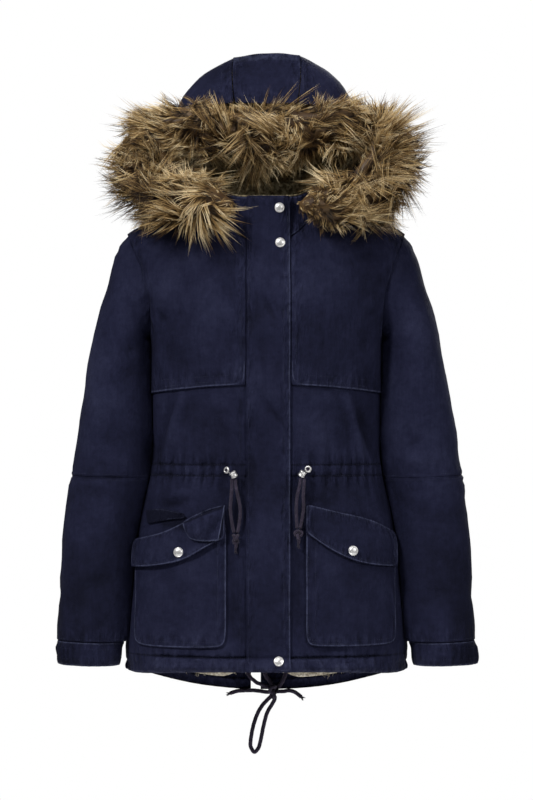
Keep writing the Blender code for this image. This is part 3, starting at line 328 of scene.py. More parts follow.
ROUTES = [
    Route("waist_cord_left_a", [
        (0.0487, -0.1252, -0.3880), (0.0475, -0.1268, -0.3980), (0.0440, -0.1275, -0.4130),
        (0.0425, -0.1290, -0.4300), (0.0430, -0.1310, -0.4470), (0.0436, -0.1325, -0.4600),
    ], WAIST_CORD),
    Route("waist_cord_left_b", [
        (0.0537, -0.1252, -0.3880), (0.0535, -0.1268, -0.3980), (0.0525, -0.1275, -0.4130),
        (0.0530, -0.1290, -0.4300), (0.0505, -0.1310, -0.4470), (0.0480, -0.1325, -0.4600),
    ], WAIST_CORD),
    Route("waist_cord_right_a", [
        (-0.0497, -0.1252, -0.3890), (-0.0495, -0.1268, -0.4000), (-0.0505, -0.1275, -0.4150),
        (-0.0515, -0.1290, -0.4330), (-0.0490, -0.1315, -0.4530), (-0.0462, -0.1330, -0.4660),
    ], WAIST_CORD),
    Route("waist_cord_right_b", [
        (-0.0447, -0.1252, -0.3890), (-0.0437, -0.1268, -0.4000), (-0.0405, -0.1275, -0.4150),
        (-0.0375, -0.1290, -0.4330), (-0.0390, -0.1315, -0.4530), (-0.0415, -0.1330, -0.4660),
    ], WAIST_CORD),
    Route("hem_cord_right", [
        (-0.0290, 0.1352, -0.6880), (-0.0262, 0.1345, -0.6935), (-0.0215, 0.1350, -0.6990),
        (-0.0140, 0.1350, -0.7045), (-0.0050, 0.1345, -0.7080), (0.0035, 0.1345, -0.7115),
    ], HEM_CORD),
    Route("hem_cord_middle", [
        (-0.0030, 0.1352, -0.6755), (-0.0032, 0.1348, -0.6840), (-0.0020, 0.1350, -0.6920),
        (0.0030, 0.1358, -0.7000), (0.0085, 0.1370, -0.7075),
    ], HEM_CORD),
    Route("hem_cord_left", [
        (0.0310, 0.1350, -0.6800), (0.0302, 0.1346, -0.6860), (0.0270, 0.1350, -0.6960),
        (0.0225, 0.1365, -0.7050), (0.0180, 0.1365, -0.7115),
    ], HEM_CORD),
    Route("hem_loop", [
        (0.0090, 0.1352, -0.7215), (0.0055, 0.1362, -0.7262), (0.0010, 0.1372, -0.7308),
        (-0.0060, 0.1375, -0.7385), (-0.0130, 0.1378, -0.7500), (-0.0195, 0.1380, -0.7680),
        (-0.0235, 0.1380, -0.7880), (-0.0240, 0.1380, -0.8010), (-0.0185, 0.1380, -0.8095),
        (-0.0125, 0.1380, -0.8040), (-0.0085, 0.1380, -0.7900), (-0.0045, 0.1380, -0.7700),
        (0.0010, 0.1376, -0.7500), (0.0085, 0.1372, -0.7370), (0.0122, 0.1362, -0.7300),
        (0.0125, 0.1352, -0.7225),
    ], HEM_CORD),
    Route("hem_tail_left", [
        (0.0145, 0.1356, -0.7176), (0.0200, 0.1368, -0.7178), (0.0270, 0.1370, -0.7175),
        (0.0350, 0.1370, -0.7165), (0.0440, 0.1370, -0.7195), (0.0530, 0.1370, -0.7265),
    ], HEM_CORD, "bare", "loose"),
    Route("hem_tail_right", [
        (0.0065, 0.1362, -0.7182), (0.0010, 0.1380, -0.7188), (-0.0060, 0.1390, -0.7180),
        (-0.0180, 0.1390, -0.7165), (-0.0320, 0.1388, -0.7165), (-0.0450, 0.1382, -0.7175),
        (-0.0560, 0.1375, -0.7210),
    ], HEM_CORD, "bare", "loose"),
]
Knot = namedtuple("Knot", "name middle size tall turn tail")
KNOTS = [
    Knot("waist_knot_left", (0.0455, -0.1335, -0.4680), 0.0019, 1.25, 0.6, (0.0455, -0.1335, -0.4860)),
    Knot("waist_knot_right", (-0.0440, -0.1345, -0.4740), 0.0019, 1.25, 2.2, (-0.0440, -0.1345, -0.4940)),
    Knot("hem_knot", (0.0105, 0.1345, -0.7165), 0.0031, 1.15, 1.2, None),
]


def make_cords():
    for knot in KNOTS:
        cord = WAIST_CORD if knot.tail else HEM_CORD
        path = knot_path(Vector(knot.middle), knot.size, knot.tall, knot.turn)
        bm = tube_along(path, KNOT_SIDES, laid(cord))
        if knot.tail:
            middle, tip = Vector(knot.middle), Vector(knot.tail)
            tail = [middle.lerp(tip, t) + Vector((TAIL_SWAY * math.sin(4 * t), 0, 0))
                    for t in (0.2, 0.4, 0.6, 0.8)]
            tube_along(tail, KNOT_SIDES, braided(cord), bm)
            add_fray(bm, tail[-1], Vector((0, 0, -1)), cord / 2, seed=5)
        piece = add_piece(knot.name + "_tied", bm, cord_look)
        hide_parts(knot.name)
    for number, route in enumerate(ROUTES):
        path = even_points(curve_through(route.points), CORD_STEP)
        bm = tube_along(path, CORD_SIDES, braided(route.diameter))
        piece = add_piece(route.name + "_braid", bm, cord_look)
        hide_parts(route.name)
        knot = "hem_knot" if route.name.startswith("hem") else route.name[:-2].replace("cord", "knot")
        if route.far_end == "bare":
            frayed = bmesh.new()
            add_fray(frayed, path[-1], (path[-1] - path[-4]).normalized(), route.diameter / 2, seed=number)
            add_piece(route.name + "_fray", frayed, cord_look)


make_cords()

# ---------------------------------------------------------------- the shell's cloth
# Washed navy cotton twill in walls of their own: fronts, backs, sleeves, cuffs, collar, placket,
# yokes, pockets, flaps, hood and hem facings, with their folds, gathers and worn edges.
WORN_BORDER = 0.0022     # the strip along an edge that wears pale
SHARP = math.radians(48)
Crease = namedtuple("Crease", "x z end_x end_z half_width lift")
FRONT_CREASES = [Crease(*row) for row in (
    # the chest beside the armholes, and under the fur
    (-0.1600, -0.1500, -0.1444, -0.1645, 0.0060, -0.0026),
    (0.1587, -0.1420, 0.1459, -0.1570, 0.0060, -0.0026),
    (-0.1610, -0.1750, -0.1500, -0.2350, 0.0090, 0.0016),
    (0.1600, -0.1700, 0.1500, -0.2300, 0.0090, 0.0016),
    (-0.1101, -0.0476, -0.1673, -0.0790, 0.0090, -0.0020),
    (0.1115, -0.0548, 0.1544, -0.0405, 0.0080, -0.0020),
    (0.1187, -0.0790, 0.1687, -0.0548, 0.0080, -0.0014),
    # below the yokes
    (-0.1210, -0.2740, -0.1480, -0.3640, 0.0060, 0.0034),
    (-0.1330, -0.2700, -0.1560, -0.3560, 0.0065, -0.0034),
    (-0.1080, -0.2650, -0.1290, -0.3330, 0.0050, -0.0016),
    (-0.0450, -0.2670, -0.0310, -0.3000, 0.0050, -0.0010),
    (0.1145, -0.2680, 0.1440, -0.3730, 0.0060, 0.0036),
    (0.1290, -0.2720, 0.1560, -0.3640, 0.0070, -0.0036),
    (0.1000, -0.2700, 0.1230, -0.3200, 0.0055, -0.0016),
    (0.0700, -0.2900, 0.0760, -0.3500, 0.0080, 0.0010),
    (-0.0750, -0.2850, -0.0800, -0.3480, 0.0080, 0.0010),
    # the placket
    (-0.0070, -0.1240, 0.0155, -0.1690, 0.0036, -0.0018),
    (-0.0090, -0.1920, 0.0010, -0.2590, 0.0034, -0.0014),
    (-0.0160, -0.2590, 0.0300, -0.3220, 0.0038, -0.0018),
    (-0.0240, -0.5480, 0.0110, -0.5770, 0.0060, -0.0010),
    (0.0100, -0.4200, 0.0050, -0.5200, 0.0080, -0.0008),
    # between the placket and the pockets, and above the pockets
    (0.0440, -0.4700, 0.0460, -0.6250, 0.0055, -0.0022),
    (-0.0500, -0.4900, -0.0460, -0.6250, 0.0055, -0.0022),
    (0.0640, -0.4180, 0.0990, -0.4240, 0.0045, -0.0020),
    (0.1240, -0.3960, 0.1480, -0.4560, 0.0060, -0.0018),
    (-0.1530, -0.4280, -0.1030, -0.4200, 0.0050, -0.0030),
    (-0.1150, -0.4070, -0.1420, -0.4160, 0.0050, 0.0018),
    (-0.1644, -0.4140, -0.1780, -0.4560, 0.0055, -0.0020),
    (0.1616, -0.3950, 0.1844, -0.4760, 0.0055, -0.0022),
    (0.1830, -0.4850, 0.1930, -0.5900, 0.0070, -0.0016),
    (-0.1900, -0.5000, -0.1960, -0.5950, 0.0070, -0.0016),
    (-0.1080, -0.6330, -0.0700, -0.6300, 0.0040, -0.0018),
    (0.0780, -0.6330, 0.1230, -0.6350, 0.0040, -0.0016),
    # the sleeves, from the armpits down
    (-0.1720, -0.1900, -0.2110, -0.2090, 0.0060, -0.0030),
    (-0.1740, -0.2060, -0.2230, -0.2170, 0.0060, 0.0018),
    (-0.1760, -0.2330, -0.2330, -0.2560, 0.0075, -0.0022),
    (-0.1960, -0.1140, -0.1760, -0.1740, 0.0060, 0.0016),
    (-0.2220, -0.0870, -0.2000, -0.1330, 0.0070, -0.0014),
    (-0.2520, -0.3340, -0.1860, -0.3300, 0.0055, -0.0024),
    (-0.2600, -0.3530, -0.1900, -0.3660, 0.0055, 0.0016),
    (-0.2720, -0.3860, -0.1930, -0.3900, 0.0050, -0.0016),
    (-0.2650, -0.4060, -0.2000, -0.4240, 0.0060, -0.0018),
    (-0.2700, -0.5430, -0.2000, -0.5250, 0.0065, -0.0026),
    (-0.2560, -0.5640, -0.2060, -0.5510, 0.0060, 0.0012),
    (-0.2480, -0.6010, -0.2050, -0.5830, 0.0060, -0.0026),
    (0.1670, -0.1830, 0.1830, -0.2260, 0.0070, -0.0030),
    (0.1850, -0.2200, 0.2400, -0.2280, 0.0055, -0.0018),
    (0.1800, -0.2060, 0.2250, -0.2060, 0.0060, 0.0014),
    (0.1800, -0.3330, 0.2390, -0.3440, 0.0055, -0.0026),
    (0.1830, -0.3510, 0.2330, -0.3630, 0.0055, 0.0016),
    (0.1900, -0.3800, 0.2700, -0.3850, 0.0050, -0.0014),
    (0.1950, -0.4210, 0.2650, -0.4490, 0.0060, -0.0018),
    (0.2000, -0.4780, 0.2730, -0.5070, 0.0080, -0.0016),
    (0.2030, -0.5650, 0.2650, -0.5500, 0.0070, -0.0022),
    (0.1940, -0.0670, 0.1820, -0.1320, 0.0060, 0.0014),
    (0.2100, -0.5950, 0.2500, -0.6080, 0.0050, -0.0014),
)]
BACK_CREASES = [Crease(*row) for row in (
    (-0.1550, -0.1400, -0.1350, -0.2100, 0.0090, -0.0026),
    (0.1560, -0.1450, 0.1380, -0.2050, 0.0090, -0.0026),
    (-0.1000, -0.0700, -0.0200, -0.0900, 0.0120, 0.0014),
    (0.0900, -0.0650, 0.0250, -0.0950, 0.0120, 0.0014),
    (0.1300, -0.2700, 0.0900, -0.3500, 0.0070, 0.0030),
    (0.1480, -0.2600, 0.1180, -0.3550, 0.0070, -0.0030),
    (-0.1200, -0.2750, -0.0850, -0.3450, 0.0070, 0.0028),
    (-0.1420, -0.2680, -0.1080, -0.3520, 0.0070, -0.0030),
    (0.0450, -0.2900, 0.0330, -0.3550, 0.0080, -0.0014),
    (-0.0500, -0.3000, -0.0380, -0.3570, 0.0080, -0.0016),
    (0.0950, -0.4050, 0.1200, -0.5000, 0.0080, -0.0024),
    (0.0720, -0.4050, 0.0880, -0.5200, 0.0090, 0.0018),
    (-0.0900, -0.4050, -0.1180, -0.4950, 0.0080, -0.0024),
    (-0.0650, -0.4100, -0.0800, -0.5300, 0.0090, 0.0018),
    (0.0300, -0.4100, 0.0380, -0.4900, 0.0070, -0.0014),
    (-0.0260, -0.4100, -0.0330, -0.4850, 0.0070, -0.0012),
    (0.1550, -0.5300, 0.1750, -0.6200, 0.0100, -0.0018),
    (-0.1500, -0.5400, -0.1720, -0.6300, 0.0100, -0.0018),
    (-0.1760, -0.2150, -0.2240, -0.2350, 0.0070, -0.0028),
    (0.1760, -0.2120, 0.2220, -0.2380, 0.0070, -0.0028),
    (-0.1850, -0.3560, -0.2700, -0.3480, 0.0070, -0.0026),
    (0.1850, -0.3520, 0.2680, -0.3620, 0.0070, -0.0026),
    (-0.1900, -0.3900, -0.2760, -0.4060, 0.0080, 0.0018),
    (0.1920, -0.3960, 0.2760, -0.3990, 0.0080, 0.0018),
    (-0.2000, -0.4700, -0.2750, -0.4520, 0.0070, -0.0024),
    (0.1980, -0.4620, 0.2700, -0.4680, 0.0070, -0.0024),
    (-0.2100, -0.5700, -0.2700, -0.5850, 0.0080, -0.0020),
    (0.2080, -0.5820, 0.2720, -0.5700, 0.0080, -0.0020),
)]
# Down the outside of the arms, drawn on the plane of depth (y) and height.
ARM_CREASES = [Crease(*row) for row in (
    (-0.0400, -0.1900, 0.0200, -0.2150, 0.0090, -0.0018),
    (-0.0100, -0.3300, 0.0500, -0.3450, 0.0080, -0.0022),
    (-0.0500, -0.4000, 0.0100, -0.4150, 0.0080, 0.0005),
    (-0.0200, -0.4600, 0.0400, -0.4500, 0.0070, -0.0022),
    (-0.0600, -0.5500, 0.0000, -0.5700, 0.0090, -0.0018),
)]
# The middle of the left arm from the shoulder to the cuff.
ARM = np.array([
    (0.1650, 0.002, -0.0850), (0.1956, 0.003, -0.1280), (0.2025, -0.001, -0.1525),
    (0.2078, -0.007, -0.1860), (0.2139, -0.015, -0.2285), (0.2188, -0.020, -0.2790),
    (0.2248, -0.023, -0.3345), (0.2308, -0.026, -0.3880), (0.2397, -0.029, -0.4305),
    (0.2465, -0.032, -0.4815), (0.2513, -0.034, -0.5360), (0.2552, -0.036, -0.5910),
    (0.2576, -0.037, -0.6255), (0.2613, -0.038, -0.6700),
])
ARMHOLE_TOP = np.array((0.219, -0.057))
ARMHOLE_FOOT = np.array((0.1716, -0.199))
HOOD_MIDDLE = np.array((0.0, 0.030, 0.090))
CREASE_DEPTH = 1.7       # how much deeper the creases are than the tables' lifts
WAIST_GATHERS = (-0.3650, -0.3905)
WAIST_STITCHES = (-0.3694, -0.3851)
WAIST = -0.378
WAIST_RISE = -0.3772     # the crown of the cloth between the waist's two rows
PLACKET_X = 0.003        # the placket's middle
CASING = -0.6439         # the seam over the front hem's casing
HEM_FROM = -0.630        # where the hem's and the cuffs' gathers begin
FINER_AT = (-0.3560, -0.3630, -0.3694, -0.3772, -0.3851, -0.3920, -0.4000, -0.6340, -0.6395, -0.6425,
            -0.6439, -0.6453, -0.6480, -0.6520, -0.6570)
# How far each kind of fold lifts or sinks the cloth.
HOOD_WAVES, HOOD_SMALL_WAVES = 0.0016, 0.0005
WAVES, SMALL_WAVES = 0.0023, 0.0010
CUFF_GATHERS, ELBOW_GATHERS = 0.0019, 0.0010
SLEEVE_HEAD = 0.0036
SLEEVE_SLIMMER, CUFF_SLIMMER = 0.0050, 0.0022
WAIST_GATHERING, WAIST_FOLDS, HEM_FOLDS = 0.0021, 0.0020, 0.0018
CASING_ROLL, CASING_GROOVE, STITCH_GROOVE = 0.0040, 0.0026, 0.0009
WAIST_CROWN = 0.0010
SIDE_RISE = 0.0012
JOIN = 0.028             # over this far from the armhole the lift fades to none


def ease(x):
    x = np.clip(x, 0.0, 1.0)
    return x * x * (3 - 2 * x)


def unit(rows):
    return rows / np.maximum(np.linalg.norm(rows, axis=1, keepdims=True), 1e-9)


def uneven(points, across, seed):
    """Smooth unevenness from about -1 to 1 over points, its lumps this far across."""
    rng = np.random.default_rng(seed)
    total = np.zeros(len(points))
    for _ in range(8):
        way = rng.normal(size=3)
        way *= math.pi / (across * rng.uniform(0.7, 1.6) * np.linalg.norm(way))
        total += np.sin(points @ way + rng.uniform(0, 2 * math.pi))
    return total / 3.4


def along_segment(flat, start, end):
    """How far along a segment each point is, as a share, and how far from it."""
    run = end - start
    share = np.clip((flat - start) @ run / (run @ run), 0.0, 1.0)
    return share, np.linalg.norm(flat - start - share[:, None] * run, axis=1)


def crease_lift(flat, creases):
    """How far creases drawn on a plane lift its points; a trough goes down."""
    total = np.zeros(len(flat))
    for c in creases:
        share, away = along_segment(flat, np.array((c.x, c.z)), np.array((c.end_x, c.end_z)))
        away = away / c.half_width
        total += c.lift * np.exp(-away * away) * (0.25 + 0.75 * np.sin(math.pi * share))
    return CREASE_DEPTH * total


def seen_flat(points):
    """Points as seen from the front, both sides of the coat as one."""
    return np.stack((np.abs(points[:, 0]), points[:, 2]), axis=1)


def from_head(points):
    """Each point's distance from the top of its armhole, as seen from the front."""
    return np.linalg.norm(seen_flat(points) - ARMHOLE_TOP, axis=1)


def arm_frame(points):
    """Each point's way out from the middle of its arm, and its turn round it."""
    side = np.sign(points[:, :1])
    left = points * np.hstack((side, np.ones_like(side), np.ones_like(side)))
    nearest, best = np.zeros_like(left), np.full(len(left), 9.0)
    for start, end in zip(ARM, ARM[1:]):
        run = end - start
        share = np.clip((left - start) @ run / (run @ run), 0.0, 1.0)
        spot = start + share[:, None] * run
        away = np.linalg.norm(left - spot, axis=1)
        closer = away < best
        nearest[closer], best[closer] = spot[closer], away[closer]
    way = unit(left - nearest)
    turn = np.arctan2(way[:, 1], way[:, 0])
    way[:, :1] *= side
    return way, turn


def body_way(points):
    flat = np.stack((points[:, 0] / 0.19 ** 2, points[:, 1] / 0.13 ** 2, np.zeros(len(points))), axis=1)
    return unit(flat)


def arm_folds(points, way, turn, lift):
    """Adds a sleeve's own forms: the gathers at elbow and cuff, the head and the slimmer outer side."""
    x, _, z = points.T
    lift += ease((np.abs(x) - 0.245) / 0.03) * crease_lift(points[:, [1, 2]], ARM_CREASES)
    ripple = np.sin(turn * 34 + 2.2 * uneven(points, 0.03, 5))
    lift += CUFF_GATHERS * ripple * ease((HEM_FROM - z) / 0.006) * ease((z + 0.668) / 0.005)
    fine = np.sin(z * 2 * math.pi / 0.011 + 2.6 * uneven(points, 0.04, 6))
    lift += ELBOW_GATHERS * fine * np.exp(-((z + 0.405) / 0.045) ** 2)
    lift += SLEEVE_HEAD * np.exp(-(from_head(points) / 0.026) ** 2)
    outer_side = ease(way[:, 0] * np.sign(x) / 0.5)
    lift -= SLEEVE_SLIMMER * ease((-0.42 - z) / 0.24) * outer_side
    lift -= CUFF_SLIMMER * ease((-0.661 - z) / 0.007)
    near_body = ease(-way[:, 0] * np.sign(x) / 0.6 - 0.3)
    return lift * (1 - 0.8 * near_body)


def body_folds(points, lift):
    """Adds the body's own forms: the gathers at waist and hem, the casing's roll and the rows' grooves."""
    x, y, z = points.T
    run = np.arctan2(x / 0.17, -y / 0.12) * 0.15
    clear = np.where(y < 0, ease((np.abs(x - PLACKET_X) - 0.042) / 0.012), 1.0)
    pull = sum(np.exp(-((z - row) / 0.0085) ** 2) for row in WAIST_GATHERS)
    folds = np.sin(run * 2 * math.pi / 0.0085 + 2.4 * uneven(points, 0.035, 3))
    lift += WAIST_GATHERING * folds * pull * clear
    long_folds = np.sin(run * 2 * math.pi / 0.016 + 2.0 * uneven(points, 0.05, 4))
    lift += WAIST_FOLDS * long_folds * np.exp(-((z - WAIST) / 0.032) ** 2) * clear
    roll = np.sin(run * 2 * math.pi / 0.0125 + 2.2 * uneven(points, 0.03, 7))
    lift += HEM_FOLDS * roll * ease((HEM_FROM - z) / 0.010) * clear
    front_hem = ease(-y / 0.03) * (1 - 0.8 * ease((np.abs(x) - 0.160) / 0.03))
    lift += CASING_ROLL * np.sin(math.pi * np.clip((CASING - z) / 0.0205, 0, 1)) ** 0.7 * front_hem
    lift -= CASING_GROOVE * np.exp(-((z - CASING) / 0.0022) ** 2) * front_hem
    for row in WAIST_STITCHES:
        lift -= STITCH_GROOVE * np.exp(-((z - row) / 0.0022) ** 2) * clear
    lift += WAIST_CROWN * np.exp(-((z - WAIST_RISE) / 0.0055) ** 2) * clear
    sides = ease((np.abs(x) - 0.150) / 0.02) * ease((-0.18 - z) / 0.03)
    return lift * (1 - 0.7 * sides) + SIDE_RISE * sides


def cloth_lift(points, part):
    """How far, and which way, the cloth moves at each point for its folds and gathers."""
    x, y, z = points.T
    if part == "hood":
        hold = ease((z - 0.035) / 0.05)
        lift = HOOD_WAVES * uneven(points, 0.055, 21) + HOOD_SMALL_WAVES * uneven(points, 0.018, 22)
        return unit(points - HOOD_MIDDLE), hold * lift
    way, turn = arm_frame(points) if part == "arm" else (body_way(points), None)
    lift = ease(-y / 0.045) * crease_lift(points[:, [0, 2]], FRONT_CREASES)
    lift += ease(y / 0.045) * crease_lift(points[:, [0, 2]], BACK_CREASES)
    lift += WAVES * uneven(points, 0.055, 1) + SMALL_WAVES * uneven(points, 0.022, 2)
    armhole = along_segment(seen_flat(points), ARMHOLE_TOP, ARMHOLE_FOOT)[1]
    if part == "arm":
        lift = arm_folds(points, way, turn, lift)
        head = ease((0.03 - from_head(points)) / 0.02) * ease(armhole / 0.007) * (lift > 0)
        return way, lift * np.maximum(ease(armhole / JOIN), head)
    lift = body_folds(points, lift)
    neck = np.maximum(ease((np.hypot(x, 1.1 * y) - 0.088) / 0.04), ease((-0.055 - z) / 0.03))
    return way, lift * ease(armhole / JOIN) * (neck if part == "body" else 1.0)


def apart(bm):
    """The faces of a wall in groups, with sharp edges between the groups."""
    groups, seen = [], set()
    for first in bm.faces:
        if first in seen:
            continue
        group, todo = [], [first]
        seen.add(first)
        while todo:
            face = todo.pop()
            group.append(face)
            for edge in face.edges:
                if len(edge.link_faces) == 2 and edge.calc_face_angle() < SHARP:
                    for other in edge.link_faces:
                        if other not in seen:
                            seen.add(other)
                            todo.append(other)
        groups.append(group)
    return groups


def facing_out(group, part):
    middles = np.array([f.calc_center_median()[:] for f in group])
    ways = cloth_lift(middles, part)[0] if part != "fleece" else body_way(middles)
    normals = np.array([f.normal[:] for f in group])
    areas = np.array([f.calc_area() for f in group])
    return float(np.sum(areas * np.sum(ways * normals, axis=1)) / areas.sum()), areas.sum()


def skin_of(node, part, levels):
    """A finer copy of a packed wall, its outer face and its edges marked."""
    bm = bmesh.new()
    bm.from_mesh(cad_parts[node].data)
    bmesh.ops.remove_doubles(bm, verts=bm.verts, dist=1e-5)
    bmesh.ops.join_triangles(
        bm, faces=bm.faces, angle_face_threshold=math.radians(60), angle_shape_threshold=math.radians(180)
    )
    for height in FINER_AT if node.startswith(("front", "back_left", "back_right")) else ():
        bmesh.ops.bisect_plane(
            bm, geom=bm.verts[:] + bm.edges[:] + bm.faces[:], plane_co=(0, 0, height), plane_no=(0, 0, 1)
        )
    bm.normal_update()
    whole = sum(f.calc_area() for f in bm.faces)
    outer = []
    for group in apart(bm):
        out, area = facing_out(group, part)
        if out > 0.30 and area > 0.04 * whole:
            outer += group
    bmesh.ops.inset_region(bm, faces=outer, thickness=WORN_BORDER, use_even_offset=False, use_boundary=True)
    crease = bm.edges.layers.float.new("crease_edge")
    soft = 0.45 if node.startswith(("placket", "flap", "pocket")) else 0.85
    rim = bm.verts.layers.float.new("rim")
    face_out = bm.verts.layers.float.new("outer")
    for edge in bm.edges:
        if len(edge.link_faces) == 2 and edge.calc_face_angle() > SHARP:
            edge[crease] = soft
            for vert in edge.verts:
                vert[rim] = 1.0
    for face in outer:
        for vert in face.verts:
            vert[face_out] = 1.0
    mesh = bpy.data.meshes.new(node)
    bm.to_mesh(mesh)
    bm.free()
    rough = bpy.data.objects.new(node, mesh)
    scene.collection.objects.link(rough)
    finer = rough.modifiers.new("finer", "SUBSURF")
    finer.levels = finer.render_levels = levels
    bpy.context.view_layer.update()
    fine = bpy.data.meshes.new_from_object(rough.evaluated_get(bpy.context.evaluated_depsgraph_get()))
    bpy.data.objects.remove(rough)
    bpy.data.meshes.remove(mesh)
    return fine


def places_of(mesh):
    flat = np.empty(3 * len(mesh.vertices), np.float32)
    mesh.vertices.foreach_get("co", flat)
    return flat.reshape(-1, 3).astype(float)


def read_attribute(mesh, name):
    values = np.empty(len(mesh.vertices), np.float32)
    mesh.attributes[name].data.foreach_get("value", values)
    return values.astype(float)


def write_attribute(mesh, name, values):
    layer = mesh.attributes.get(name) or mesh.attributes.new(name, "FLOAT", "POINT")
    layer.data.foreach_set("value", np.asarray(values, np.float32))


def forget_marks(mesh):
    """Drops what only the making of a piece needed: its marks and the solid's materials."""
    for name in ("rim", "outer", "crease_edge"):
        if name in mesh.attributes:
            mesh.attributes.remove(mesh.attributes[name])
    mesh.materials.clear()


EDGE_LIMIT = 0.02


def from_edge(points, rim):
    """Each point's distance from the nearest cut or folded edge, up to a limit."""
    edge_points = points[rim > 0.7]
    if not len(edge_points):
        return np.full(len(points), EDGE_LIMIT)
    tree = KDTree(len(edge_points))
    for i, p in enumerate(edge_points):
        tree.insert(p, i)
    tree.balance()
    return np.minimum([tree.find(p)[2] for p in points], EDGE_LIMIT)


LOW = -0.60              # hems and cuffs are below this
YOKE_FOOT = -0.235       # the yokes' free lower edges are below this
FLY_SEAM = -0.0379       # the row beside the placket, on the right front and yoke
# Rows of stitching: what is measured (edge, x or z), where the row runs, and where it is kept.
Row = namedtuple("Row", "along at keep")
Cloth = namedtuple("Cloth", "node part levels wear wide long area held hangs_from rows")
WEAR_LEFT = {            # the share of its wear that an edge keeps, by where it runs
    "placket": lambda x, y, z: np.where(x > 0.02, 0.85, 0.22),
    "yoke": lambda x, y, z: np.where(z < -0.22, 1.0, 0.18),
    "sleeve_upper": lambda x, y, z: np.where(z < -0.33, 0.5, 0.25),
    "sleeve_lower": lambda x, y, z: np.where(z < LOW, 1.0, 0.4),
    "front": lambda x, y, z: np.where(z < LOW, 1.0, 0.35),
    "back": lambda x, y, z: np.where(z < LOW, 1.0, 0.35),
    "pocket_mouth": lambda x, y, z: 0.5 * (z > -0.4385 - 0.40 * (x + 0.1700)),
}


def anywhere(x, y, z):
    return x == x


def beside_placket(x, y, z):
    return (y > 0) | (np.abs(x - PLACKET_X) > 0.040)


def armhole_side(x, y, z):
    return (np.abs(x) > 0.150) & (z < -0.030) & (z > -0.215)


def front_and_foot(x, y, z):
    return (y < -0.004) & ((z > LOW) | (z < -0.62))


def near_elbow(x, y, z):
    return (z < -0.36) & (z > -0.46)


def yoke_edges(x, y, z):
    return (z < YOKE_FOOT) | armhole_side(x, y, z) | (np.abs(x) < 0.06)


def hood_face(x, y, z):
    return (np.abs(x) < 0.10) & (z > 0.05)


WAIST_ROWS = [Row("z", z, beside_placket) for z in WAIST_STITCHES]
CLOTH = []
for side in ("left", "right"):
    out = 1 if side == "left" else -1
    front, back = "front_" + side, "back_" + side
    fly = [Row("x", FLY_SEAM, lambda x, y, z: (y < 0) & (z < -0.25))] if out < 0 else []
    fly_above = [Row("x", FLY_SEAM, lambda x, y, z: (y < 0) & (z < 0.0))] if out < 0 else []
    CLOTH += [
        Cloth(front, "body", 2, 0.35, 0.330, 0.690, 0.1665, "hung", ["yoke_" + side, "collar"],
              WAIST_ROWS + [Row("z", CASING, anywhere),
                            Row("edge", 0.0045, lambda x, y, z: armhole_side(x, y, z) & (z < -0.15))] + fly),
        Cloth(back, "body", 2, 0.35, 0.330, 0.735, 0.1785, "hung", ["collar"],
              WAIST_ROWS + [Row("edge", 0.0045, armhole_side),
                            Row("edge", 0.0030, lambda x, y, z: (np.abs(x) < 0.03) & (y > 0.05)),
                            Row("edge", 0.0170, lambda x, y, z: z < -0.640)]),
        Cloth("yoke_" + side, "body", 2, 1.0, 0.235, 0.290, 0.0515, "hung", [front],
              [Row("edge", 0.0026, yoke_edges),
               Row("edge", 0.0085, lambda x, y, z: z < YOKE_FOOT)] + fly_above),
        Cloth("sleeve_upper_" + side, "arm", 2, 0.35, 0.370, 0.345, 0.0979, "hung", [front, back],
              [Row("edge", 0.0030, near_elbow)]),
        Cloth("sleeve_lower_" + side, "arm", 2, 0.35, 0.370, 0.235, 0.0778, "hung", ["sleeve_upper_" + side],
              [Row("edge", 0.0030, near_elbow), Row("edge", 0.0022, lambda x, y, z: z < LOW)]),
        Cloth("cuff_" + side, "arm", 2, 0.8, 0.330, 0.038, 0.0113, "gathered", ["sleeve_lower_" + side],
              [Row("edge", 0.0025, anywhere), Row("edge", 0.0085, anywhere)]),
        Cloth("pocket_" + side, "body", 2, 1.0, 0.150, 0.185, 0.0250, "stretched", [front],
              [Row("edge", 0.0030, lambda x, y, z: z < -0.50),
               Row("x", 0.0700 * out, lambda x, y, z: z > -0.61)]),
        Cloth("flap_" + side, "body", 3, 1.0, 0.150, 0.078, 0.0095, "hung", ["pocket_" + side],
              [Row("edge", 0.0026, anywhere)]),
        Cloth("hood_side_" + side, "hood", 2, 0.4, 0.250, 0.300, 0.0550, "hung", ["hood_centre", "collar"],
              [Row("edge", 0.0028, hood_face), Row("edge", 0.0075, hood_face)]),
        Cloth("back_hem_facing_" + side, "body", 1, 0.3, 0.250, 0.020, 0.0045, "hung", [back], []),
    ]
CLOTH += [
    Cloth("collar", "collar", 2, 0.9, 0.420, 0.075, 0.0206, "hung", ["front_left", "front_right"],
          [Row("edge", 0.0028, anywhere), Row("edge", 0.0080, lambda x, y, z: y < -0.03)]),
    Cloth("placket", "body", 3, 1.0, 0.066, 0.690, 0.0450, "hung", ["front_left", "front_right"],
          [Row("edge", 0.0022, front_and_foot), Row("x", 0.0250, lambda x, y, z: y < -0.004),
           Row("z", -0.1634, lambda x, y, z: x > 0.0215)]),
    Cloth("hood_centre", "hood", 2, 0.4, 0.115, 0.420, 0.0406, "hung", ["hood_side_left", "hood_side_right"],
          [Row("edge", 0.0028, lambda x, y, z: z > 0.05)]),
    Cloth("pocket_mouth_right", "body", 2, 1.0, 0.065, 0.030, 0.0013, "folded", ["front_right"], []),
]


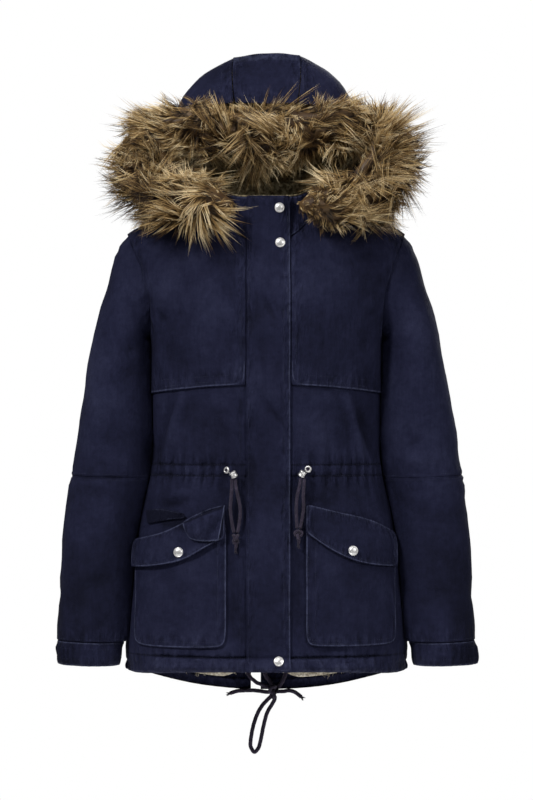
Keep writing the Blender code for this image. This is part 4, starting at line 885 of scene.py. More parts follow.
def lines_on(mesh, points, outer, field, level):
    """Chains of points where a field over a mesh's outer face passes a level."""
    above = field > level
    links, spots = {}, {}
    for poly in mesh.polygons:
        ring = list(poly.vertices)
        if min(outer[i] for i in ring) < 0.5:
            continue
        cuts = []
        for a, b in zip(ring, ring[1:] + ring[:1]):
            if above[a] != above[b]:
                key = (min(a, b), max(a, b))
                share = (level - field[a]) / (field[b] - field[a])
                spots[key] = (points[a] * (1 - share) + points[b] * share, poly.normal)
                cuts.append(key)
        if len(cuts) == 2:
            links.setdefault(cuts[0], []).append(cuts[1])
            links.setdefault(cuts[1], []).append(cuts[0])
    chains, used = [], set()
    for start in sorted(links, key=lambda k: len(links[k])):
        if start in used:
            continue
        chain, here = [], start
        while here is not None:
            used.add(here)
            chain.append(here)
            here = next((k for k in links[here] if k not in used), None)
        if len(chain) > 2:
            chains.append([spots[k] for k in chain])
    return chains


STITCH_LONG, STITCH_PITCH, STITCH_WIDE = 0.0023, 0.0031, 0.00030
STITCH_SUNK, STITCH_CROWN, STITCH_ROOT = 0.0002, 0.00042, 0.0004


def stitches_along(chain, keep, rng):
    """The corners of small stitches, end to end along a chain of points on the cloth."""
    spots = np.array([s[0] for s in chain])
    ups = np.array([s[1][:] for s in chain])
    steps = np.linalg.norm(np.diff(spots, axis=0), axis=1)
    runs = np.concatenate(([0.0], np.cumsum(steps)))
    found = []
    count = int(runs[-1] / STITCH_PITCH)
    for i in range(count):
        begin = (i + rng.uniform(-0.06, 0.06)) * STITCH_PITCH
        ends = [np.array([np.interp(begin + d, runs, spots[:, k]) for k in range(3)])
                for d in (0.0, STITCH_LONG)]
        if not keep(*ends[0]):
            continue
        up = unit(np.array([[np.interp(begin, runs, ups[:, k]) for k in range(3)]]))[0]
        along = ends[1] - ends[0]
        across = np.cross(up, along)
        across *= STITCH_WIDE / max(np.linalg.norm(across), 1e-9)
        middle = (ends[0] + ends[1]) / 2
        found.append([ends[0] - up * STITCH_SUNK, ends[1] - up * STITCH_SUNK, middle + across,
                      middle - across, middle + up * STITCH_CROWN, middle - up * STITCH_ROOT])
    return found


def join_stitches(name, found, material):
    """One mesh of many stitches, eight small faces to each."""
    faces = [(0, 2, 4), (2, 1, 4), (1, 3, 4), (3, 0, 4), (2, 0, 5), (1, 2, 5), (3, 1, 5), (0, 3, 5)]
    corners = np.array(found).reshape(-1, 3)
    starts = 6 * np.arange(len(found))[:, None, None]
    mesh = bpy.data.meshes.new(name)
    mesh.from_pydata(corners.tolist(), [], (starts + np.array(faces)[None]).reshape(-1, 3).tolist())
    bm = bmesh.new()
    bm.from_mesh(mesh)
    bpy.data.meshes.remove(mesh)
    bmesh.ops.recalc_face_normals(bm, faces=bm.faces)
    add_piece(name, bm, material)


def seam_band(tree, height, level, half_width):
    """1 where the height is at a level, falling softly to 0 half a width away."""
    gap = calc(tree, "ABSOLUTE", calc(tree, "SUBTRACT", height, level))
    return add_node(tree, "MapRange", [("Value", gap)], interpolation_type="SMOOTHSTEP",
                    From_Max=half_width, To_Min=1.0, To_Max=0.0).outputs["Result"]


def twill_material(name, seams=()):
    """Washed cotton twill: slubs, a fine diagonal rib, mottling, gathers at seams, pale worn edges, and the
    painted shade and shadows in each piece's tone shifts.
    """
    material, tree, shader = new_material(name)
    place = add_node(tree, "TexCoord").outputs["Object"]
    height = add_node(tree, "SeparateXYZ", [("Vector", place)]).outputs["Z"]

    def grain_of(scale, detail, roughness=0.5, squash=1.0):
        source = place
        if squash != 1.0:
            source = add_node(tree, "Mapping", [("Vector", place)], Scale=(1.0, 1.0, squash)).outputs[0]
        return add_node(tree, "TexNoise", [("Vector", source)], Scale=scale, Detail=detail,
                        Roughness=roughness).outputs["Fac"]

    def attribute(wanted):
        return add_node(tree, "Attribute", attribute_name=wanted).outputs["Fac"]

    broad, mottle = grain_of(13.0, 3.0, 0.6), grain_of(110.0, 3.0, 0.65)
    slub, weft = grain_of(320.0, 2.0, squash=0.10), grain_of(260.0, 2.0, squash=6.0)
    grain, gathered = grain_of(1400.0, 2.0), grain_of(105.0, 2.0, 0.6, 0.30)
    # The piece's tone shifts carry painted shade and painted shadows as well as mottling.
    drawn, tone = attribute("pucker"), attribute("fade")
    for source, share in ((broad, 0.36), (mottle, 0.26), (slub, 0.12), (weft, 0.10), (grain, 0.16)):
        tone = calc(tree, "MULTIPLY_ADD", source, share, tone)
    for level in seams:
        drawn = calc(tree, "MAXIMUM", drawn, seam_band(tree, height, level, GATHERED_HALF))
        tone = calc(tree, "MULTIPLY_ADD", seam_band(tree, height, level, SEAM_HALF), -SEAM_DARKER, tone)
    ruck = calc(tree, "MULTIPLY", calc(tree, "SUBTRACT", gathered, 0.5), drawn)
    tone = calc(tree, "MULTIPLY_ADD", ruck, RUCKS_PALER, tone)
    dyed = add_ramp(
        tree, tone,
        (0.30, (0.0042, 0.0048, 0.0140)), (0.50, (0.0100, 0.0112, 0.0305)), (0.66, (0.0180, 0.0200, 0.0470)),
        (0.86, (0.0380, 0.0420, 0.0820)),
    )
    patchy = calc(tree, "MULTIPLY", attribute("worn"), mottle)
    lightness_shift = add_ramp(tree, patchy, (0.12, (0.0, 0.0, 0.0)), (0.50, (0.95, 0.95, 0.95)))
    pale = add_node(tree, "Mix", [("Factor", lightness_shift.outputs["Color"])], data_type="RGBA")
    colours = [socket for socket in pale.inputs if socket.type == "RGBA"]
    tree.links.new(dyed.outputs["Color"], colours[0])
    colours[1].default_value = WORN_PALE
    mixed = next(socket for socket in pale.outputs if socket.type == "RGBA")
    rib = add_node(tree, "TexWave", [("Vector", place)], Scale=480.0, Distortion=1.5,
                   bands_direction="DIAGONAL")
    bumps = None
    for source, distance, strength in (
        (grain_of(34.0, 4.0, 0.55), 0.0120, 0.35), (grain_of(85.0, 3.0, 0.6, 0.5), 0.0040, 0.40),
        (ruck, 0.0110, 0.95), (slub, 0.0006, 0.30), (rib.outputs["Fac"], 0.0004, 0.30),
    ):
        bump = add_node(tree, "Bump", [("Height", source)], Strength=strength, Distance=distance)
        if bumps:
            tree.links.new(bumps.outputs["Normal"], bump.inputs["Normal"])
        bumps = bump
    set_look(tree, shader, mixed, roughness=0.88, gloss=0.10, bump=bumps)
    return material


def thread_material():
    material, tree, shader = new_material("navy_thread")
    tone = add_ramp(
        tree, noise_over(tree, 45.0, Detail=2.0),
        (0.35, (0.014, 0.016, 0.036)), (0.50, (0.028, 0.032, 0.060)), (0.68, (0.062, 0.070, 0.110)),
    )
    bump = add_node(tree, "Bump", [("Height", noise_over(tree, 2500.0))], Strength=0.4, Distance=0.0002)
    set_look(tree, shader, tone.outputs["Color"], roughness=0.8, gloss=0.15, bump=bump)
    return material


GATHERED_HALF, SEAM_HALF = 0.012, 0.0020
SEAM_DARKER, RUCKS_PALER = 0.24, 0.55
FOLD_WEAR_AND_SHADE = 27.0      # a fold's top is made paler as wear and its foot darker as painted shade, by this for each metre
WORN_PALE = (0.062, 0.070, 0.125, 1.0)
twill_look = twill_material("washed_navy_twill")
front_look = twill_material("washed_navy_twill_front", (*WAIST_STITCHES, CASING))
back_look = twill_material("washed_navy_twill_back", WAIST_STITCHES)
thread_look = thread_material()
skins = {}               # each dressed piece's mesh as a tree that rays can meet
# How much painted shade darkens the cloth below the yokes and at the sides, and how much painted shadow
# darkens the crushed pocket's hollow and mouth.
BELOW_YOKE_PAINTED_SHADE, SIDES_PAINTED_SHADE, HOLLOW_PAINTED_SHADOW, MOUTH_PAINTED_SHADOW = 0.055, 0.05, 0.42, 0.25
FOLD_TONE_LIMITS = (-0.17, 0.11)    # the darkest (painted shade) and the palest (wear) that a fold makes the cloth
VENT_DRAW = {"left": -0.0030, "right": 0.0042}    # how far the hem's cord draws in the vent's edges
SHOULDER_RISE = 0.0042    # the sleeve head and the shoulder lift together at the armhole's top
HEAD_IN = {"right": 0.0022, "left": 0.0040}    # how far a sleeve's head lies in over the armhole
CORNER_IN = 0.0045        # how far the fronts' lower corners turn in
CLEAR_OF_BODY = 0.0008    # what a sleeve keeps from the coat's side
CLOSES_FROM = 0.0075      # gaps wider than this stay as they are
WALL = 0.0016
EDGE_WEAR = 0.0020        # how far in from an edge the cloth wears
ROW_PUCKER = 0.0045       # how far to each side a row of stitches draws in the cloth


def kind_of(node):
    """A piece's name without its side."""
    return node.rsplit("_", 1)[0] if node.endswith(("_left", "_right")) else node


def mottle_and_painted_shade(points, part):
    """Random mottling, and painted shade: darker on the lower sleeves, below the yokes and at the body's
    sides, and a painted shadow in the crushed pocket's hollow (below 0 is darker).
    """
    x, _, z = points.T
    fade = 0.035 * uneven(points, 0.080, 90)
    if part == "arm":
        # The lower sleeves are painted darker, as shade.
        return fade - 0.075 * ease((-0.33 - z) / 0.10) + 0.02
    if part == "body":
        # Painted shade below the yokes and at the sides, and a painted shadow in the crushed pocket's hollow.
        below_yoke = ease((-0.272 - z) / 0.015) * ease((z + 0.46) / 0.05)
        hollow = np.exp(-(((x + 0.132) / 0.020) ** 2 + ((z + 0.4530 + 0.25 * (x + 0.132)) / 0.0060) ** 2))
        sides = ease((np.abs(x) - 0.150) / 0.03)
        return fade - BELOW_YOKE_PAINTED_SHADE * below_yoke - SIDES_PAINTED_SHADE * sides - HOLLOW_PAINTED_SHADOW * hollow
    return fade


def vent_shift(points, node):
    """How far each point of the back goes across where the cord draws in the hem at the vent."""
    low = ease((-0.640 - points[:, 2]) / 0.04)
    return VENT_DRAW[node.rsplit("_", 1)[1]] * low * np.exp(-(points[:, 0] / 0.030) ** 2)


def toward_body(points, outer, way, node):
    """How far a sleeve's inner side moves to lie along the body, above the open wedge at the hem."""
    side = 1 if node.endswith("left") else -1
    trees = [tree for name, tree in skins.items() if name.startswith(("front", "back", "yoke"))]
    facing = ease(-way[:, 0] * side / 0.4 - 0.2)
    span = ease((-0.184 - points[:, 2]) / 0.010) * ease((points[:, 2] + 0.640) / 0.020)
    shift = np.zeros(len(points))
    for i in np.flatnonzero(facing * span > 0.01):
        start = Vector(points[i])
        hits = [tree.ray_cast(start, Vector((-side, 0, 0)), 0.02) for tree in trees]
        gap = min((hit[3] for hit in hits if hit[0] is not None), default=9.0)
        gap -= CLEAR_OF_BODY + (0.0 if outer[i] > 0.5 else WALL)
        if 0 < gap < 2 * CLOSES_FROM:
            closing = float(ease((2 * CLOSES_FROM - gap) / CLOSES_FROM))
            shift[i] = -side * gap * facing[i] * span[i] * closing
    return shift


def settle(points, cloth, way, outer):
    """Moves a piece where the coat pulls it whole: the sleeve heads, the hem's corners and the vent."""
    head = from_head(points)
    rise = SHOULDER_RISE * np.exp(-(head / 0.020) ** 2)
    points += np.stack((0.7 * np.sign(points[:, 0]) * rise, 0 * rise, 0.7 * rise), axis=1)
    if cloth.node.startswith("front"):
        corner = ease((-0.652 - points[:, 2]) / 0.012) * ease((np.abs(points[:, 0]) - 0.165) / 0.03)
        points[:, 0] -= CORNER_IN * corner * np.sign(points[:, 0])
    if cloth.node.startswith("back"):
        points[:, 0] += vent_shift(points, cloth.node)
    if cloth.part == "arm":
        head_in = HEAD_IN[cloth.node.rsplit("_", 1)[1]]
        points[:, 0] -= head_in * np.sign(points[:, 0]) * np.exp(-(head / 0.018) ** 2)
        points[:, 0] += toward_body(points, outer, way, cloth.node)


def sew(mesh, points, outer, gap, rows, pucker):
    """The stitches of a piece's rows; each row puckers the cloth beside it."""
    fields = {"edge": gap, "x": points[:, 0], "z": points[:, 2]}
    rng = np.random.default_rng(len(skins) + 11)
    sewn = []
    for row in rows:
        beside = np.exp(-((fields[row.along] - row.at) / ROW_PUCKER) ** 2) * row.keep(*points.T)
        np.maximum(pucker, beside, out=pucker)
        for chain in lines_on(mesh, points, outer, fields[row.along], row.at):
            sewn += stitches_along(chain, row.keep, rng)
    return sewn


def dress(cloth):
    """Makes one piece of the shell, finer than its solid, with its folds, and sews it."""
    mesh, kind = skin_of(cloth.node, cloth.part, cloth.levels), kind_of(cloth.node)
    points = places_of(mesh)
    rim, outer = read_attribute(mesh, "rim"), read_attribute(mesh, "outer")
    gap = from_edge(points, rim)
    way, lift = cloth_lift(points, cloth.part)
    if cloth.node == "flap_right":
        lift = lift + crumple(points)
    # Fold tops are made paler as wear, and fold troughs darker as painted shade.
    lightness_shift = np.clip(FOLD_WEAR_AND_SHADE * lift, *FOLD_TONE_LIMITS)
    # The pocket mouth's leaf is painted darker all over, as the crushed flap's shadow.
    if kind == "pocket_mouth":
        lightness_shift = lightness_shift - MOUTH_PAINTED_SHADOW
    points += way * lift[:, None]
    settle(points, cloth, way, outer)
    mesh.vertices.foreach_set("co", points.ravel().astype(np.float32))
    kept = WEAR_LEFT[kind](*points.T) if kind in WEAR_LEFT else 1.0
    write_attribute(mesh, "worn", kept * cloth.wear * np.exp(-(gap / EDGE_WEAR) ** 2) * (outer > 0.4))
    pucker = 0.9 * np.exp(-(gap / (0.0160 if kind == "yoke" else 0.0100)) ** 2)
    if kind in ("front", "back"):
        pucker = np.maximum(pucker, 0.85 * ease((-0.625 - points[:, 2]) / 0.02))
        pucker = np.maximum(pucker, 0.75 * np.exp(-((points[:, 2] - WAIST) / 0.022) ** 2))
    sewn = sew(mesh, points, outer, gap, cloth.rows, pucker)
    if kind.startswith("sleeve"):
        pucker *= np.where(points[:, 2] < LOW, 1.0, 0.3)
    write_attribute(mesh, "pucker", pucker)
    # The tone shifts hold random mottling, wear on fold tops, painted shade and painted shadows.
    write_attribute(mesh, "fade", mottle_and_painted_shade(points, cloth.part) + lightness_shift)
    forget_marks(mesh)
    mesh.update()
    look = {"front": front_look, "back": back_look}.get(kind, twill_look)
    piece = place_mesh(cloth.node + "_cloth", mesh, look)
    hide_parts(cloth.node)
    skins[cloth.node] = BVHTree.FromPolygons([Vector(p) for p in points], [p.vertices for p in mesh.polygons])
    return sewn


def crumple(points):
    """The hollows in the right pocket's flap, beside its turned-up fold."""
    flat = points[:, [0, 2]]
    hollows = (
        Crease(-0.1225, -0.4500, -0.1165, -0.4680, 0.0030, -0.0022),
        Crease(-0.1080, -0.4415, -0.0600, -0.4330, 0.0026, -0.0016),
        Crease(-0.1120, -0.4790, -0.0800, -0.4815, 0.0040, -0.0010),
    )
    return crease_lift(flat, hollows)


sewing = {}
for cloth in CLOTH:
    sewing.setdefault(kind_of(cloth.node), []).extend(dress(cloth))
for group, found in sewing.items():
    if found:
        join_stitches(group + "_stitches", found, thread_look)

# ---------------------------------------------------------------- fur
# A long-haired edging round the face of the hood: a dark felted backing, and wavy locks of hair
# that stand out all round it, dark at the root, tan along the middle and dark at many tips.
FUR = [                  # the middle of the fur, from its end at the collar to the top of the hood
    (0.047, -0.118, 0.002), (0.053, -0.118, 0.002), (0.078, -0.116, 0.003), (0.117, -0.104, 0.011),
    (0.158, -0.080, 0.028), (0.186, -0.050, 0.068), (0.168, -0.036, 0.112), (0.116, -0.051, 0.124),
    (0.060, -0.060, 0.115), (0.000, -0.063, 0.109),
]
FELT_SHARE = 0.56        # how far out the felt reaches, of the hairs' reach
FUR_FRONT = -0.166       # how far forward the hairs' middles reach
FUR_LOCKS = 4400
HAIRS_A_LOCK = 5
FUR_PARTS = 4
# Places on the fur as seen from the front, each with its size: the lower lobes' inner ends, where
# the hair leans in over the collar, and the bight between a side's lower and upper lobe.
INNER_END = ((0.074, 0.036), (0.026, 0.026))
BIGHT = ((0.132, 0.076), (0.042, 0.024))
REACHES = (0.010, 0.029)  # the shortest and the longest reach of a lock
BIGHT_REACH = 0.022
ROOT_TONE, LENGTH_TONE, TIP_DARKER = -0.10, 0.80, 0.75
HAIR_PLACES = np.array((0.0, 0.30, 0.58, 0.82, 1.0))
HAIR_WIDTHS = np.array((0.75, 1.0, 0.88, 0.55, 0.0))
Look = namedtuple("Look", "spread thick pull splay bend wave turns")
Locks = namedtuple("Locks", "root way reach bend tone")
LONG_HAIR = Look(spread=0.0038, thick=0.00045, pull=0.50, splay=0.11, bend=1.60, wave=0.18, turns=1.1)


def square_to(ways):
    """Two ways square to each way and to each other."""
    spare = np.where(np.abs(ways[..., 2:]) < 0.9, (0.0, 0.0, 1.0), (1.0, 0.0, 0.0))
    first = np.cross(ways, spare)
    first /= np.maximum(np.linalg.norm(first, axis=-1, keepdims=True), 1e-9)
    return first, np.cross(ways, first)


def hairs_of(locks, each, look, rng):
    """The corners and faces of curved, tapered, three-sided hairs that come together in locks."""
    count, rings = len(locks.root), len(HAIR_PLACES)
    first, second = square_to(locks.way)
    turn = rng.uniform(0, 2 * math.pi, (count, each, 1))
    out = look.spread * np.sqrt(rng.uniform(0, 1, (count, each, 1)))
    offset = out * (first[:, None] * np.cos(turn) + second[:, None] * np.sin(turn))
    reach = locks.reach[:, None, None] * rng.uniform(0.70, 1.0, (count, each, 1))
    curl_turn = rng.uniform(0, 2 * math.pi, (count, 1))
    curl = first * np.cos(curl_turn) + second * np.sin(curl_turn)
    phase = rng.uniform(0, 2 * math.pi, (count, 1, 1)) + rng.uniform(-0.7, 0.7, (count, each, 1))
    loose = rng.normal(0, look.splay, (count, each, 3))
    spots = np.empty((count, each, rings, 3))
    for k, u in enumerate(HAIR_PLACES):
        wave = look.wave * reach * (np.sin(2 * math.pi * look.turns * u + phase) - np.sin(phase)) * u ** 0.5
        spots[:, :, k] = (
            locks.root[:, None] + offset * (1 - look.pull * u ** 0.8)
            + reach * (locks.way[:, None] * u + locks.bend[:, None] * look.bend * u * u + loose * u * u)
            + wave * curl[:, None]
        )
    along = np.gradient(spots, axis=2)
    along /= np.maximum(np.linalg.norm(along, axis=-1, keepdims=True), 1e-9)
    one, two = square_to(along)
    widths = look.thick * rng.uniform(0.7, 1.3, (count, each, 1)) * HAIR_WIDTHS
    corners = []
    for j in range(3):
        angle = 2 * math.pi * j / 3
        corners.append(spots + widths[..., None] * (one * math.cos(angle) + two * math.sin(angle)))
    sides = np.stack(corners, axis=3)[:, :, :-1].reshape(count * each, -1, 3)
    tips = spots[:, :, -1].reshape(count * each, 1, 3)
    points = np.concatenate((sides, tips), axis=1)
    tip = 3 * (rings - 1)
    quads = [(3 * k + j, 3 * k + (j + 1) % 3, 3 * k + 3 + (j + 1) % 3, 3 * k + 3 + j)
             for k in range(rings - 2) for j in range(3)]
    points_in = [(tip - 3 + j, tip - 3 + (j + 1) % 3, tip) for j in range(3)] + [(0, 2, 1)]
    starts = (tip + 1) * np.arange(count * each)[:, None, None]
    faces = (starts + np.array(quads)).reshape(-1, 4).tolist()
    faces += (starts + np.array(points_in)).reshape(-1, 3).tolist()
    return points.reshape(-1, 3), faces


def per_corner(values, each):
    """A value of each lock, given to every corner of its hairs."""
    return np.repeat(values, each * (3 * (len(HAIR_PLACES) - 1) + 1))


def along_hairs(count):
    """How far out along its hair each corner is, from root to tip."""
    return np.tile(np.append(np.repeat(HAIR_PLACES[:-1], 3), 1.0), count)


def fur_line(count):
    """Middles along the whole fur from the wearer's left to the right, and ways across it."""
    curve = curve_through(FUR)
    half = [curve(i / (count - 1)) for i in range(count)]
    line = half + [Vector((-p.x, p.y, p.z)) for p in reversed(half[:-1])]
    side, ways = Vector((0, 0, 1)), []
    for i, middle in enumerate(line):
        ahead = (line[min(i + 1, len(line) - 1)] - line[max(i - 1, 0)]).normalized()
        side = (side - ahead * side.dot(ahead)).normalized()
        ways.append((ahead, side.copy(), ahead.cross(side)))
    return line, ways


def reach_from(solid, start, way, otherwise):
    hit = solid.ray_cast(Vector(start), Vector(way))
    return hit[3] if hit[0] is not None else otherwise


def make_felt(solid, line, ways, material):
    """The fur's backing, inside the hairs' reach."""
    sides, rings = 28, []
    for middle, (_, side, other) in zip(line, ways):
        ring = []
        for s in range(sides):
            turn = 2 * math.pi * s / sides
            way = side * math.cos(turn) + other * math.sin(turn)
            rough = 1 + 0.10 * math.sin(7 * turn + 60 * middle.x) * math.sin(90 * middle.z + 50 * middle.x)
            ring.append(middle + way * FELT_SHARE * reach_from(solid, middle, way, 0.01) * rough)
        rings.append(ring)
    bm = bmesh.new()
    grid = [[bm.verts.new(p) for p in ring] for ring in rings]
    for ring, after in zip(grid, grid[1:]):
        for s in range(sides):
            bm.faces.new((ring[s], ring[(s + 1) % sides], after[(s + 1) % sides], after[s]))
    bm.faces.new(grid[0])
    bm.faces.new(grid[-1])
    bmesh.ops.recalc_face_normals(bm, faces=bm.faces)
    piece = add_piece("fur_felt", bm, material)
    write_attribute(piece.data, "tone", [0.20] * len(piece.data.vertices))
    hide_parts("fur_trim")


def fur_locks(solid, line, ways, rng):
    """Where locks are rooted on the felt, evenly all round it, and how they lie."""
    steps = np.array([(b - a).length for a, b in zip(line, line[1:])])
    reaches = np.array([reach_from(solid, m, w[1], 0.03) for m, w in zip(line, ways)])
    weights = np.append(0.0, np.cumsum(steps * (reaches[1:] + reaches[:-1])))
    golden = (math.sqrt(5) - 1) / 2
    roots, outs, longs = [], [], []
    end_gap = np.minimum(np.append(0.0, np.cumsum(steps)), steps.sum() - np.append(0.0, np.cumsum(steps)))
    for i in range(FUR_LOCKS):
        at = np.interp((i + 0.5) / FUR_LOCKS * weights[-1], weights, np.arange(len(line)))
        k, turn = min(int(at), len(line) - 2), 2 * math.pi * (i * golden % 1.0) + rng.uniform(-0.05, 0.05)
        share = at - k
        middle = line[k].lerp(line[k + 1], share)
        ahead, side, other = ways[k]
        way = side * math.cos(turn) + other * math.sin(turn)
        hold = FELT_SHARE * 0.9 * reach_from(solid, middle, way, 0.01)
        near_end = max(0.0, 1 - np.interp(at, np.arange(len(line)), end_gap) / 0.035)
        endward = -ahead if k < len(line) / 2 else ahead
        root = middle + way * hold * rng.uniform(0.85, 1.0) * (1 - 0.4 * near_end)
        out = (way + endward * 1.3 * near_end).normalized()
        roots.append(root)
        outs.append(out)
        longs.append(reach_from(solid, root, out, 0.02) + 0.006 * near_end)
    return np.array(roots), np.array(outs), np.array(longs)


def fur_material():
    """Hair coloured along its length by its own tone, with a soft gloss."""
    material, tree, shader = new_material("tan_fur")
    tone = add_node(tree, "Attribute", attribute_name="tone").outputs["Fac"]
    colour = add_ramp(
        tree, calc(tree, "MULTIPLY_ADD", noise_over(tree, 26.0, Detail=2.0), 0.35, tone),
        (0.12, (0.008, 0.0050, 0.0038)), (0.34, (0.046, 0.024, 0.010)), (0.54, (0.225, 0.132, 0.047)),
        (0.76, (0.560, 0.385, 0.165)), (0.98, (0.900, 0.730, 0.450)),
    )
    set_look(tree, shader, colour.outputs["Color"], roughness=0.5, gloss=0.25)
    return material


def near(across, up, place, size):
    """1 at a place on the fur, falling to 0 away from it."""
    return np.exp(-(((across - place[0]) / size[0]) ** 2 + ((up - place[1]) / size[1]) ** 2))


def along_skin(leans, way):
    """What is left of each lean when its part along the lock is taken out."""
    return leans - way * np.sum(leans * way, axis=1, keepdims=True)


def comb(root, way, reach, rng):
    """Lays the locks in one flow: which way each stands and bends, and how far it reaches."""
    across, up = np.abs(root[:, 0]), root[:, 2]
    swirl = [uneven(root, 0.030, 50 + k) + 0.5 * uneven(root, 0.012, 60 + k) for k in range(3)]
    swirl = along_skin(np.stack(swirl, axis=1), way)
    inward = near(across, up, *INNER_END)
    outward = 0.75 * np.sign(root[:, 0]) * ease(across / 0.05) * (1 - 2.6 * inward)
    lean = along_skin(np.stack((outward, 0 * reach, 0.05 + 0 * reach), axis=1), way)
    bend = swirl * 1.2 + lean * 0.7 + np.array((0.0, 0.0, -0.15)) + rng.normal(0, 0.20, root.shape)
    way = unit(way + swirl * 0.40 + lean * 0.45 + rng.normal(0, 0.08, root.shape))
    fringe = ease(-way[:, 2] / 0.5) * ease((0.11 - across) / 0.03) * (up > 0.05)
    bight = near(across, up, *BIGHT)
    crown = ease((way[:, 2] - 0.2) / 0.4) * ease((0.10 - across) / 0.03) * ease((0.45 - way[:, 1]) / 0.3)
    reach = np.clip(reach, *REACHES) * rng.uniform(0.92, 1.20, len(root))
    reach = reach * (1 + 0.06 * fringe - 0.40 * crown)
    reach = np.maximum(reach, BIGHT_REACH * bight) * (1 + 0.45 * bight) * (1 + 0.7 * inward)
    reach *= (1 - 0.42 * ease((-0.006 - up) / 0.02)) / (1 + 0.22 * np.linalg.norm(bend, axis=1))
    reach *= 1 - 0.42 * ease((0.085 - across) / 0.03) * ease((0.034 - up) / 0.02)
    forward = np.maximum(-(way[:, 1] + LONG_HAIR.bend * bend[:, 1]) * reach, 1e-6)
    reach *= np.minimum(1, np.maximum(root[:, 1] - FUR_FRONT, 0.004) / forward)
    return way, reach, bend


def tone_locks(root, rng):
    """How pale each lock is, with painted shade in the bight and painted light on the upper lobes, and how
    dark its tip.
    """
    across, up = np.abs(root[:, 0]), root[:, 2]
    outer = ease((across - 0.115) / 0.05)
    dark_tip = rng.uniform(-0.55, 0.75, len(root)) + outer * rng.uniform(0.2, 1.0, len(root))
    lobe = ease((across - 0.08) / 0.05) * (up > 0.06)
    tone = 0.24 * uneven(root, 0.022, 70) + rng.normal(0, 0.14, len(root))
    # The bight is painted darker as shade, and the upper lobes painted paler as light from above.
    return tone - 0.16 * near(across, up, *BIGHT) + 0.10 * lobe - 0.03, np.clip(dark_tip, 0, 1)


def make_fur():
    rng = np.random.default_rng(41)
    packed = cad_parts["fur_trim"].data
    solid = BVHTree.FromPolygons([v.co for v in packed.vertices], [p.vertices for p in packed.polygons])
    line, ways = fur_line(60)
    material = fur_material()
    make_felt(solid, line, ways, material)
    root, way, reach = fur_locks(solid, line, ways, rng)
    way, reach, bend = comb(root, way, reach, rng)
    tone, dark_tip = tone_locks(root, rng)
    for part in range(FUR_PARTS):
        span = slice(part * FUR_LOCKS // FUR_PARTS, (part + 1) * FUR_LOCKS // FUR_PARTS)
        locks = Locks(root[span], way[span], reach[span], bend[span], tone[span])
        points, faces = hairs_of(locks, HAIRS_A_LOCK, LONG_HAIR, rng)
        hairs = len(locks.root) * HAIRS_A_LOCK
        u = along_hairs(hairs)
        shade = per_corner(locks.tone, HAIRS_A_LOCK) + np.repeat(rng.normal(0, 0.11, hairs), len(u) // hairs)
        tones = ROOT_TONE + LENGTH_TONE * ease((u - 0.10) / 0.80) + shade * ease(u / 0.3)
        tones -= per_corner(dark_tip[span], HAIRS_A_LOCK) * TIP_DARKER * ease((u - 0.66) / 0.28)
        mesh = bpy.data.meshes.new("fur")
        mesh.from_pydata(points.tolist(), [], faces)
        write_attribute(mesh, "tone", tones)
        piece = place_mesh(f"fur_hair_{part}", mesh, material)
        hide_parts("fur_trim")


make_fur()

# ---------------------------------------------------------------- the crushed flap
# The right pocket's flap is turned up at its inner corner and lies over itself in a soft fold, which
# lies on the cloth that is dressed before it.
FOLD_TOP = ((-0.1205, -0.4530), (-0.1010, -0.4435), (-0.0800, -0.4340), (-0.0592, -0.4262))
FOLD_FOOT = ((-0.1165, -0.4640), (-0.1085, -0.4745), (-0.0880, -0.4780), (-0.0685, -0.4768))
FOLD_COLUMNS, FOLD_ROWS = 30, 18
FOLD_WALL = 0.0013
FOLD_CLEAR, FOLD_PUFF, FOLD_WAVE = 0.0036, 0.0074, 0.0016
IN_FRONT = -0.4          # a depth before the whole coat


def on_cloth(x, z):
    """Where the dressed front is met at a place, and the way that it faces."""
    start, ahead = Vector((x, IN_FRONT, z)), Vector((0, 1, 0))
    hits = [tree.ray_cast(start, ahead) for tree in skins.values()]
    place, normal = min(((hit[0], hit[1]) for hit in hits if hit[0] is not None), key=lambda hit: hit[0].y)
    return place, (normal if normal.y < 0 else -normal)


